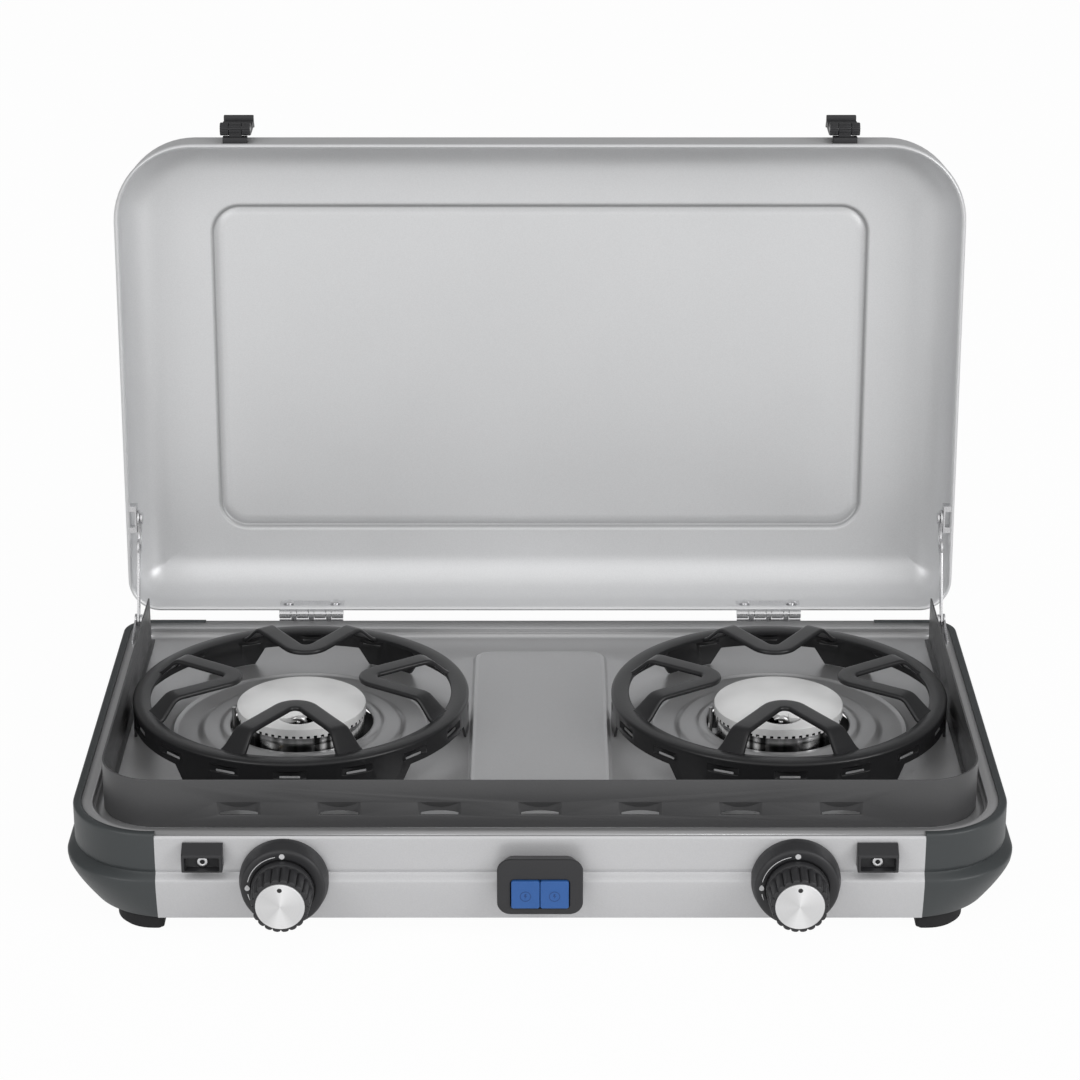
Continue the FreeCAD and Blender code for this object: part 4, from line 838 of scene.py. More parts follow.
def upright(x: float, y: float, z: float) -> Matrix:
    """From a pattern about its own Z axis to the frame, turned to face the front at a point of the drawing.

    Args:
        x: where the pattern's axis is.
        y: where its Z is 0.
        z: where the axis is.

    Returns:
        The matrix.
    """
    return DRAWN @ Matrix.Translation((x, y, z)) @ Matrix.Rotation(math.radians(90), 4, "X")


def packed_mesh(node: str) -> bmesh.types.BMesh:
    """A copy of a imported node's faces with shared corners."""
    build = bmesh.new()
    build.from_mesh(frame["nodes"][node].data)
    bmesh.ops.remove_doubles(build, verts=build.verts[:], dist=1e-6)
    return build


def join_flats(build: bmesh.types.BMesh) -> None:
    """Joins the triangles that lie in one plane."""
    limit = math.radians(FLAT)
    bmesh.ops.dissolve_limit(build, angle_limit=limit, verts=build.verts[:], edges=build.edges[:])


def merged_copy(node: str, finish: Finish, body: str, bevel: float = 0.3, angle: float = 35.0,
                smooth: float = 35.0, segments: int = 2) -> bpy.types.Object:
    """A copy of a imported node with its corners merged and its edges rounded, standing for the node.

    Args:
        node: the node's name.
        finish: its finish.
        body: the body that it rides on.
        bevel: width of the rounding in millimetres; 0 leaves edges sharp.
        angle: edges sharper than this are rounded.
        smooth: faces flatter than this are shaded smoothly.
        segments: steps of the rounding.

    Returns:
        The copy.
    """
    build = packed_mesh(node)
    join_flats(build)
    piece = into_object(node + "_dressed", build, smooth)
    dress(piece, finish, body, [node])
    if bevel:
        round_edges(piece, bevel, angle, segments)
    return piece


def coat(finish: Finish, *nodes: str) -> None:
    """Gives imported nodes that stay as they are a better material."""
    for node in nodes:
        for slot in frame["nodes"][node].material_slots:
            slot.material = finish.material()
        log.info("%s: coated with %s", node, finish.name)


# ---- sub-assemblies ---------------------------------------------------------------------------------------
SIDES = {"left": -1, "right": 1}


@dataclass
class BodyShell:
    """Front and rear panels, end caps and feet.

    Attributes:
        panel_half: half the width of the steel panels between the end caps.
        half_low: half the width over the lower half, which stands out.
        side_bulge: how far the lower half stands out at the ends.
        front_bulge: the same at the front.
        curl_top: below this height the lower edge curls in.
        tuck_front: how far it curls in at the front.
        tuck_side: the same at the ends.
        flange_under: the underside of the deck's flange.
        heights: where the walls' loops are.
        soft_foot: how far the end cap's lowest loop is brought in.
        groove: depth of the groove over the crease, as a share of the bulge.
        fold: the front panel's top edge, as (back, up) from the front and the flange.
        lip: the end cap's edge round the deck, as (up from its top, inwards).
        pad_z: lower and upper side of the floor that a foot is pushed into.
    """

    panel_half: float = 199.0
    half_low: float = 250.0
    side_bulge: float = 3.8
    front_y: float = -140.8
    rear_y: float = 140.8
    front_bulge: float = 2.6
    front_r: float = 45.0
    rear_r: float = 16.0
    skirt_z: float = 9.0
    curl_top: float = 30.0
    tuck_front: float = 4.5
    tuck_side: float = 12.0
    crease_z: float = 34.0
    flange_under: float = 57.1
    cap_top: float = 58.5
    sheet: float = 0.9
    wall: float = 2.4
    heights: tuple[float, ...] = (
        9.0, 9.3, 9.9, 11.0, 12.6, 14.6, 17.0, 19.6, 22.4, 25.4, 28.4, 31.0, 32.0, 32.6, 33.1, 33.5, 33.9,
        34.3, 34.7, 35.1, 35.6, 36.2, 36.9, 37.8, 39.0, 41.0, 46.0, 52.0, 55.4)
    soft_foot: float = 0.25
    curl_power: float = 1.3
    crease_height: float = 3.8
    groove: float = 0.34
    groove_above: float = 2.4
    groove_width: float = 1.1
    fold: Profile = (
        (0.1, -0.9), (0.4, -0.35), (0.9, 0.0), (7.0, 0.0), (7.0, -0.9), (1.5, -0.9))
    lip: Profile = (
        (-1.4, 0.0), (-0.8, 0.12), (-0.3, 0.45), (0.0, 1.0), (0.0, 3.9), (-0.15, 4.25), (-0.5, 4.5))
    end_steps: int = 24
    throat_side: float = 9.6
    throat_front: float = 6.0
    throat_rear: float = 11.0
    throat_front_r: float = 37.2
    throat_rear_r: float = 9.2
    foot_y: float = 122.3
    pad_inner: float = 193.5
    pad_outer: float = 223.0
    pad_to_front: float = 12.2
    pad_to_rear: float = 14.6
    pad_to_middle: float = 16.0
    pad_front_r: float = 21.0
    pad_rear_r: float = 8.0
    pad_corner_r: float = 0.5
    pad_z: tuple[float, float] = (9.1, 11.4)

    def curl(self, z: float) -> float:
        """How far the lower edge curls in at a height, from 0 to 1."""
        return max(0.0, (self.curl_top - z) / (self.curl_top - self.skirt_z)) ** self.curl_power

    def stand_out(self, z: float) -> float:
        """How far the lower half stands out at a height, from 0 to 1, under a shallow groove."""
        t = min(1.0, max(0.0, (self.crease_z - z) / self.crease_height + 0.5))
        groove = self.groove * math.exp(-((z - self.crease_z - self.groove_above) / self.groove_width) ** 2)
        return t * t * (3 - 2 * t) - groove

    def front_at(self, z: float) -> float:
        """Where the front is at a height."""
        return self.front_y - self.front_bulge * self.stand_out(z) + self.tuck_front * self.curl(z)

    def front_profile(self, inset: float) -> list[tuple[float, float]]:
        """The front panel's section as (y, z), brought in by the sheet."""
        return [(self.front_at(z) + inset, z) for z in self.heights]

    def front_panel(self) -> bpy.types.Object:
        """The creased front with its top folded in under the deck."""
        fold = [(self.front_y + back, self.flange_under + up) for back, up in self.fold]
        section = self.front_profile(0.0) + fold + self.front_profile(self.sheet)[::-1]
        shell = Shell()
        shell.loft([endways(section, x) for x in (-self.panel_half, 0, self.panel_half)], ends=True)
        return shell.build("front_panel_pressed", SILVER_PANEL, "base", ["front_panel"], 30)

    def half_plan(self, half: float, y0: float, y1: float, front_r: float, rear_r: float) -> Plan:
        """The right-hand end of a rounded rectangle, from the front panel's edge to the rear panel's."""
        steps = self.end_steps
        plan = rounded_rect(half, y0, y1, front_r, rear_r, steps)
        turn = [(max(x, self.panel_half), y) for x, y in plan[steps + 1:3 * (steps + 1)]]
        return [(self.panel_half, y0), *turn, (self.panel_half, y1)]

    def cap_loop(self, z: float, inset: float) -> list[tuple[float, float, float]]:
        """The end cap's outline at a height, brought in."""
        side = self.side_bulge * (1 - self.stand_out(z)) + self.tuck_side * self.curl(z)
        plan = self.half_plan(self.half_low - side - inset, self.front_at(z) + inset, self.rear_y - inset,
                              self.front_r - inset, self.rear_r - inset)
        return lifted(plan, z)

    def end_cap(self, side: str) -> bpy.types.Object:
        """One moulded end: curled wall, proud lip round the deck and the ledge that carries it."""
        under = self.flange_under
        outside = [self.cap_loop(z, self.soft_foot if z == self.skirt_z else 0.0) for z in self.heights]
        lip = [self.cap_loop(self.cap_top + up, inset) for up, inset in self.lip]
        lip.append(self.cap_loop(under, self.lip[-1][1]))
        half = self.half_low - self.side_bulge - self.throat_side
        throat = self.half_plan(half, self.front_y + self.throat_front, self.rear_y - self.throat_rear,
                                self.throat_front_r, self.throat_rear_r)
        inside = [self.cap_loop(z, self.wall) for z in reversed(self.heights[:-1])]
        shell = Shell()
        loops = outside + lip + [lifted(throat, under), lifted(throat, under - self.wall)]
        loops += [self.cap_loop(under - self.wall, self.wall)] + inside
        rings = shell.loft(loops, closed=False, round_trip=True)
        for end in (0, -1):
            shell.faces.append([ring[end] for ring in rings])
        for y in (-self.foot_y, self.foot_y):
            self.pad(shell, y)
        return shell.build("end_cap_" + side + "_moulded", CAP_PLASTIC, "base", ["end_cap_" + side], 30,
                           mirrored=side == "left")

    def pad(self, shell: Shell, y: float) -> None:
        """The floor inside an end cap's corner that a foot is pushed into."""
        small = self.pad_corner_r
        if y < 0:
            low, high = y - self.pad_to_front, y + self.pad_to_middle
            radii = [small, self.pad_front_r, small, small]
        else:
            low, high = y - self.pad_to_middle, y + self.pad_to_rear
            radii = [small, small, self.pad_rear_r, small]
        inner, outer = self.pad_inner, self.pad_outer
        corners = [(inner, low), (outer, low), (outer, high), (inner, high)]
        plan: Plan = []
        for i, ((x, cy), radius) in enumerate(zip(corners, radii)):
            cx = x + radius * (1 if i in (0, 3) else -1)
            my = cy + radius * (1 if i < 2 else -1)
            for k in range(9):
                angle = math.radians(180 + 90 * i + 90 * k / 8)
                plan.append((cx + radius * math.cos(angle), my + radius * math.sin(angle)))
        shell.loft([lifted(plan, z) for z in self.pad_z], ends=True)

    def build(self) -> None:
        """Builds and dresses the shell."""
        self.front_panel()
        merged_copy("rear_panel", SILVER_PANEL, "base", 0.25)
        for side in SIDES:
            self.end_cap(side)
        merged_copy("feet", RUBBER, "base", 0.5)


@dataclass
class Deck:
    """The pressed deck: flange, stepped well, dishes and the raised panel between the burners.

    Attributes:
        flange_half: half the flange's width inside the end caps.
        flange_depth: half its depth there.
        panel_half: half the width where it lies on the steel panels.
        panel_depth: half its depth there.
        wall: the well's section from its floor, as (inwards, up).
        bead: the raised panel's edge, as (inwards, up from the floor).
        dish: a dish's section, as (radius, up from the floor).
    """

    rim_z: float = 58.0
    floor_z: float = 52.5
    sheet: float = 0.9
    well_half: float = 235.4
    well_front: float = -133.6
    well_rear: float = 128.6
    burner_x: float = 132.4
    burner_y: float = 2.6
    well_front_r: float = 36.0
    well_rear_r: float = 8.0
    centre_half: float = 38.5
    centre_depth: float = 104.0
    centre_r: float = 10.0
    flange_half: float = 241.7
    flange_depth: float = 136.3
    flange_front_r: float = 40.5
    flange_rear_r: float = 11.5
    panel_half: float = 199.0
    panel_depth: float = 139.6
    wall: Profile = (
        (4.2, 0.0), (3.0, 0.15), (2.1, 0.6), (1.6, 1.3), (1.4, 1.9), (1.0, 2.25), (0.5, 2.35), (0.15, 2.6),
        (0.0, 3.1), (0.0, 4.6), (-0.15, 5.1), (-0.5, 5.4), (-1.1, 5.5))
    bead: Profile = (
        (-0.8, 0.0), (-0.2, 0.25), (0.3, 0.9), (0.8, 1.5), (1.4, 1.75), (2.0, 1.6), (2.7, 1.15), (3.4, 1.0))
    dish: Profile = (
        (73.4, 0.0), (72.6, 0.12), (72.0, 0.5), (71.55, 0.95), (71.0, 1.2), (70.45, 0.95), (70.0, 0.5),
        (69.4, 0.12), (68.6, 0.0), (58.6, 0.0), (57.5, 0.15), (56.5, 0.6), (55.6, 1.2), (54.6, 1.65),
        (53.4, 1.8), (47.4, 1.8), (46.2, 1.9), (45.2, 2.25), (44.4, 2.8), (43.6, 3.25), (42.6, 3.4),
        (40.9, 3.4), (40.1, 3.3), (39.6, 2.9), (39.5, 2.2))

    def well(self, inset: float) -> Plan:
        """The well's outline, brought in."""
        return rounded_rect(self.well_half - inset, self.well_front + inset, self.well_rear - inset,
                            self.well_front_r - inset, self.well_rear_r - inset)

    def rim(self) -> Plan:
        """The flange's outer edge: on the steel panels, and stepped in inside the end caps."""
        half, near, far = self.panel_half, self.flange_depth, self.panel_depth
        corners = rounded_rect(self.flange_half, -near, near, self.flange_front_r, self.flange_rear_r)
        quarter = len(corners) // 4
        front = [(-half, -near), (-half, -far), (half, -far), (half, -near)]
        rear = [(half, near), (half, far), (-half, far), (-half, near)]
        return corners[:quarter] + front + corners[quarter:3 * quarter] + rear + corners[3 * quarter:]

    def centre(self, inset: float) -> Plan:
        """The raised panel's outline, brought in."""
        radius = self.centre_r - inset
        return rounded_rect(self.centre_half - inset, -self.centre_depth + inset, self.centre_depth - inset,
                            radius, radius, 8)

    def build(self) -> None:
        """Builds the deck as one sheet with its thickness."""
        z = self.floor_z
        shell = Shell()
        shell.loft([lifted(self.well(inset), z + up) for inset, up in self.wall])
        shell.fill(self.rim(), [self.well(self.wall[-1][0])], self.rim_z)
        dishes = [circle(sign * self.burner_x, self.burner_y, self.dish[0][0]) for sign in SIDES.values()]
        shell.fill(self.well(self.wall[0][0]), [*dishes, self.centre(self.bead[0][0])], z)
        shell.loft([lifted(self.centre(inset), z + up) for inset, up in self.bead])
        inset, up = self.bead[-1]
        shell.fill(self.centre(inset), [], z + up)
        for sign in SIDES.values():
            x = sign * self.burner_x
            shell.loft([lifted(circle(x, self.burner_y, radius), z + up) for radius, up in self.dish])
        piece = shell.build("deck_pressed", DECK_GREY, "base", ["deck"], 30)
        if sum(f.normal.z * f.area for f in piece.data.polygons) < 0:
            piece.data.flip_normals()
        thick = piece.modifiers.new("sheet", "SOLIDIFY")
        thick.thickness = self.sheet * MM
        thick.offset = -1.0


@dataclass
class Burners:
    """Caps, cups, electrodes, sensors, what carries them, and black plates of painted shade under the caps.

    Attributes:
        shade_plate_up: height of the black plate of painted shade over the cup's lowest point.
        notch: where the plate is open, in degrees from its inner side.
        hook: the spark hook's path, as (across, back, height, radius).
    """

    electrode_y: float = -20.4
    shade_plate_up: float = 6.6
    shade_plate_inner: float = 30.0
    shade_plate_outer: float = 44.0
    notch: tuple[float, float] = (-40.0, -20.0)
    hook: tuple[tuple[float, float, float, float], ...] = (
        (2.6, 0.0, 61.5, 1.2), (3.0, -0.2, 64.5, 1.5), (3.1, -0.5, 66.6, 1.7), (2.4, -0.9, 68.2, 1.75),
        (0.9, -1.2, 69.0, 1.6), (-0.9, -1.3, 69.1, 1.3), (-2.6, -1.2, 68.6, 0.9), (-3.8, -1.1, 68.0, 0.5))
    shade_plate_sheet: float = 0.8
    shade_plate_steps: int = 96

    def spark_hook(self, side: str) -> None:
        """The curled tip that the spark jumps to."""
        x = SIDES[side] * Deck.burner_x
        shell = Shell()
        path = [(x + dx, self.electrode_y + dy, z) for dx, dy, z, _ in self.hook]
        shell.tube(path, [radius for *_, radius in self.hook])
        shell.build("spark_hook_" + side, IGNITER, "base", smooth=60)

    def shade_plate(self, side: str) -> None:
        """A black plate of painted shade round a cup's foot, standing for the shade under the cap, with a
        notch on its inner front side.
        """
        low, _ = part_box("burner_body_" + side)
        z = low[2] / MM + self.shade_plate_up
        sign = SIDES[side]
        start, end = self.notch
        angles = [math.radians(end + (360.0 + start - end) * i / self.shade_plate_steps)
                  for i in range(self.shade_plate_steps + 1)]
        inner, outer, thick = self.shade_plate_inner, self.shade_plate_outer, self.shade_plate_sheet
        loops = []
        for radius, up in ((inner, 0.0), (inner, thick), (outer, thick), (outer, 0.0)):
            loops.append([(sign * (Deck.burner_x - radius * math.cos(angle)),
                           Deck.burner_y + radius * math.sin(angle), z + up) for angle in angles])
        shell = Shell()
        rings = shell.loft(loops, closed=False, round_trip=True)
        for cut in (0, -1):
            shell.faces.append([ring[cut] for ring in rings])
        shell.build("burner_shield_" + side, SHADE_BLACK, "base")

    def build(self) -> None:
        """Builds and dresses both burners."""
        for side in SIDES:
            self.spark_hook(side)
            self.shade_plate(side)
            merged_copy("burner_cap_" + side, CAP_ALLOY, "base", 0.3)
            merged_copy("burner_body_" + side, CUP_STEEL, "base", 0.25)
            merged_copy("mixing_tube_" + side, TUBE_STEEL, "base", 0.3)
        merged_copy("spark_electrodes", IGNITER, "base", 0.15)
        merged_copy("thermocouples", TUBE_STEEL, "base", 0.15)
        merged_copy("burner_brackets", TUBE_STEEL, "base", 0.3)


@dataclass
class PanSupports:
    """The two enamelled supports: a slit skirt on legs, a rounded ring and four pressed prongs.

    Attributes:
        cut_z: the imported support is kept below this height.
        trim_z: its corners above this height are brought in to the skirt's radius.
        ring: the ring's section, as (radius, up).
        half_angle: degrees between a prong's arm and the line out from the burner's middle.
        apex: how far from the middle the two arms' lines meet.
        arm: an arm's points from its foot inwards, as (distance from the middle, up from the crest, width).
        shoulder: half a prong's section, as (inwards from its side, level from its top).
        lip: how far the section's sides reach down.
    """

    ring_z: float = 74.1
    cut_z: float = 73.2
    trim_z: float = 72.3
    skirt_r: float = 92.7
    crest_z: float = 84.1
    half_angle: float = 33.5
    apex: float = 30.34
    tip_r: float = 8.75
    ring: Profile = (
        (83.2, -2.2), (83.0, -1.0), (83.3, -0.2), (84.1, 0.2), (88.0, 0.35), (91.4, 0.2), (92.4, -0.2),
        (92.9, -1.0), (92.9, -2.0), (83.2, -2.2))
    arm: tuple[tuple[float, float, float], ...] = (
        (87.0, -10.9, 16.5), (84.6, -10.0, 16.0), (83.0, -9.2, 15.2), (81.2, -7.6, 14.0), (76.0, -2.4, 11.8),
        (74.2, -1.0, 11.3), (72.2, -0.25, 11.0), (70.0, 0.0, 10.8), (63.0, 0.0, 10.5), (56.0, 0.0, 10.5))
    shoulder: Profile = ((0.0, -1.1), (0.3, -0.45), (0.9, -0.08), (1.8, 0.0))
    lip: float = 2.3
    sheet: float = 1.5
    tip_steps: int = 8

    def skirt(self, side: str) -> None:
        """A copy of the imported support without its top, closed at the cut."""
        node = "pan_support_" + side
        build = packed_mesh(node)
        cut = DRAWN @ Vector((0.0, 0.0, self.cut_z))
        made = bmesh.ops.bisect_plane(build, geom=[*build.verts, *build.edges, *build.faces], plane_co=cut,
                                      plane_no=(0, 0, 1), clear_outer=True)
        rim = [part for part in made["geom_cut"] if isinstance(part, bmesh.types.BMEdge)]
        bmesh.ops.triangle_fill(build, use_beauty=True, edges=rim, normal=(0, 0, 1))
        axis = DRAWN @ Vector((SIDES[side] * Deck.burner_x, Deck.burner_y, 0.0))
        for corner in build.verts:
            arm = (corner.co - axis).xy
            if corner.co.z > self.trim_z * MM and arm.length > self.skirt_r * MM:
                corner.co.xy = axis.xy + arm.normalized() * self.skirt_r * MM
        join_flats(build)
        bmesh.ops.recalc_face_normals(build, faces=build.faces[:])
        piece = into_object("support_skirt_" + side, build, 30)
        dress(piece, ENAMEL, node, [node])
        round_edges(piece, 0.3, 30)

    def spine(self) -> list[tuple[float, float, float, float]]:
        """One prong's middle line, from one foot over the tip to the other.

        Returns:
            Along X, out from the middle, height above the crest and width, at each of its points.
        """
        slope = math.tan(math.radians(self.half_angle))
        square = 1 + slope ** 2
        offset = slope ** 2 * self.apex
        arm = []
        for reach, up, width in self.arm:
            out = (offset + math.sqrt(offset ** 2 - square * (offset * self.apex - reach ** 2))) / square
            arm.append((slope * (out - self.apex), out, up, width))
        middle = self.apex + self.tip_r / math.sin(math.radians(self.half_angle))
        turn = 90 - self.half_angle
        width = self.arm[-1][2]
        tip = []
        for i in range(-self.tip_steps, self.tip_steps + 1):
            angle = math.radians(turn * i / self.tip_steps)
            tip.append((-self.tip_r * math.sin(angle), middle - self.tip_r * math.cos(angle), 0.0, width))
        return arm + tip + [(-x, out, up, width) for x, out, up, width in reversed(arm)]

    def prong(self, shell: Shell, centre: Vector, turn: float) -> None:
        """One pressed prong: a channel with rounded shoulders, swept along its middle line."""
        line = [(Vector((x, -out, up)), width) for x, out, up, width in self.spine()]
        about = Matrix.Translation(centre) @ Matrix.Rotation(math.radians(turn), 4, "Z")
        loops = []
        for i, (spot, width) in enumerate(line):
            ahead = (line[min(i + 1, len(line) - 1)][0] - line[max(i - 1, 0)][0]).normalized()
            across = ahead.cross(Vector((0, 0, 1))).normalized()
            up = across.cross(ahead)
            half = width / 2
            inner = half - self.sheet
            right = [(inner - 0.2, -self.sheet - 0.1), (inner, -self.lip), (half, -self.lip)]
            right += [(half - inwards, level) for inwards, level in self.shoulder]
            section = right + [(-a, b) for a, b in reversed(right)]
            loops.append([about @ (spot + across * a + up * b) for a, b in section])
        shell.loft(loops, ends=True)

    def build(self) -> None:
        """Builds both supports."""
        for side, sign in SIDES.items():
            self.skirt(side)
            top = Shell()
            middle = Vector((sign * Deck.burner_x, Deck.burner_y, 0.0))
            top.turned(self.ring, middle + Vector((0, 0, self.ring_z)), count=144)
            for i in range(4):
                self.prong(top, middle + Vector((0, 0, self.crest_z)), 90 * i)
            top.build("support_top_" + side, ENAMEL, "pan_support_" + side, smooth=40)


@dataclass
class Windscreen:
    """The three-sided screen."""

    def build(self) -> None:
        """Dresses the screen."""
        merged_copy("windscreen", SCREEN_GREY, "windscreen", 0.25, 30, 30)


@dataclass
class Lid:
    """The pressed lid with its hinges, brackets and rivets.

    Attributes:
        edge_r: radius of the outer face where the sides turn into the top.
        inner_r: the same of the inner face.
        emboss_middle: how far inside the raised rectangle's outline its flat middle is filled.
        rolled_top: where the sides start above the rolled edge.
        straight_top: where they are straight.
        crease: the raised rectangle's section, as (out from its outline, up).
        rolled_edge: the rolled edge's section, as (inwards, up).
    """

    half: float = 243.8
    front: float = -140.0
    rear: float = 139.7
    edge_z: float = 60.5
    height: float = 38.0
    front_r: float = 45.0
    rear_r: float = 18.0
    edge_r: float = 14.0
    inner_r: float = 22.0
    sheet: float = 0.9
    emboss_half: float = 191.5
    emboss_front: float = -97.0
    emboss_rear: float = 99.0
    emboss_r: float = 16.0
    emboss_rise: float = 0.9
    emboss_middle: float = 60.0
    rolled_top: float = 7.0
    straight_top: float = 12.0
    corner_steps: int = 16
    side_steps: int = 6
    bend_steps: int = 12
    crease: Profile = (
        (3.2, 0.0), (1.3, 0.05), (0.8, 0.45), (0.5, 1.2), (0.15, 1.95), (-0.35, 2.2), (-1.0, 2.1),
        (-2.2, 1.6), (-3.6, 1.15), (-5.2, 0.93), (-7.0, 0.9))
    rolled_edge: Profile = (
        (0.92, 5.0), (1.05, 4.2), (1.4, 3.5), (1.8, 2.8), (1.95, 1.9), (1.8, 1.0), (1.3, 0.3), (0.6, 0.0),
        (0.1, 0.25), (-0.55, 0.9), (-0.8, 1.8), (-0.7, 2.9), (-0.35, 3.8), (0.0, 4.6))

    def outline(self, inset: float) -> Plan:
        """The lid's plan, brought in."""
        return rounded_rect(self.half - inset, self.front + inset, self.rear - inset, self.front_r - inset,
                            self.rear_r - inset, self.corner_steps, self.side_steps)

    def emboss(self, inset: float) -> Plan:
        """The raised rectangle's plan, brought in."""
        radius = self.emboss_r - inset
        return rounded_rect(self.emboss_half - inset, self.emboss_front + inset, self.emboss_rear - inset,
                            radius, radius, self.corner_steps, self.side_steps)

    def skin(self, inset: float) -> list[list[tuple[float, float, float]]]:
        """One face of the tray from the folded edge to the middle.

        Args:
            inset: 0 for the outer face, the sheet's thickness for the inner one.

        Returns:
            Its loops, from the edge to the middle.
        """
        top = self.edge_z + self.height - inset
        radius = self.inner_r if inset else self.edge_r
        starts = (self.edge_z + self.rolled_top, self.edge_z + self.straight_top, top - radius)
        loops = [lifted(self.outline(inset), z) for z in starts]
        for i in range(1, self.bend_steps + 1):
            angle = math.radians(90 * i / self.bend_steps)
            plan = self.outline(inset + radius * (1 - math.cos(angle)))
            loops.append(lifted(plan, top - radius * (1 - math.sin(angle))))
        for out, up in self.crease:
            loops.append(lifted(self.emboss(-out + inset * 0.5), top + up))
        loops.append(lifted(self.emboss(self.emboss_middle), top + self.emboss_rise))
        return loops

    def shell(self) -> bpy.types.Object:
        """The pressed tray, closed all round."""
        built = Shell()
        inner = self.skin(self.sheet)[::-1]
        edge = [lifted(self.outline(inset), self.edge_z + up) for inset, up in self.rolled_edge]
        built.loft(inner + edge + self.skin(0.0), ends=True)
        return built.build("lid_pressed", SILVER_LID, "lid", ["lid_shell"], 40, Place.LID)

    def build(self) -> None:
        """Builds and dresses the lid."""
        self.shell()
        for side in SIDES:
            merged_copy("hinge_lid_leaf_" + side, BRIGHT_STEEL, "lid", 0.2)
            merged_copy("stay_bridge_" + side, BRIGHT_STEEL, "lid", 0.2)
            merged_copy("clip_bracket_" + side, DARK_PLASTIC, "lid", 0.3)
            merged_copy("hinge_base_leaf_" + side, BRIGHT_STEEL, "base", 0.2)
        merged_copy("lid_hinge_rivets", BRIGHT_STEEL, "lid", 0.1)
        merged_copy("base_hinge_rivets", BRIGHT_STEEL, "base", 0.1)
        merged_copy("clip_pins", BRIGHT_STEEL, "lid", 0.1)
        merged_copy("hinge_pins", BRIGHT_STEEL, "base", 0.1)


@dataclass
class Stays:
    """The slotted stays and their lugs."""

    def build(self) -> None:
        """Dresses both stays."""
        for side in SIDES:
            merged_copy("lid_stay_" + side, BRIGHT_STEEL, "lid_stay_" + side, 0.15)
            merged_copy("stay_lug_" + side, BRIGHT_STEEL, "base", 0.2)


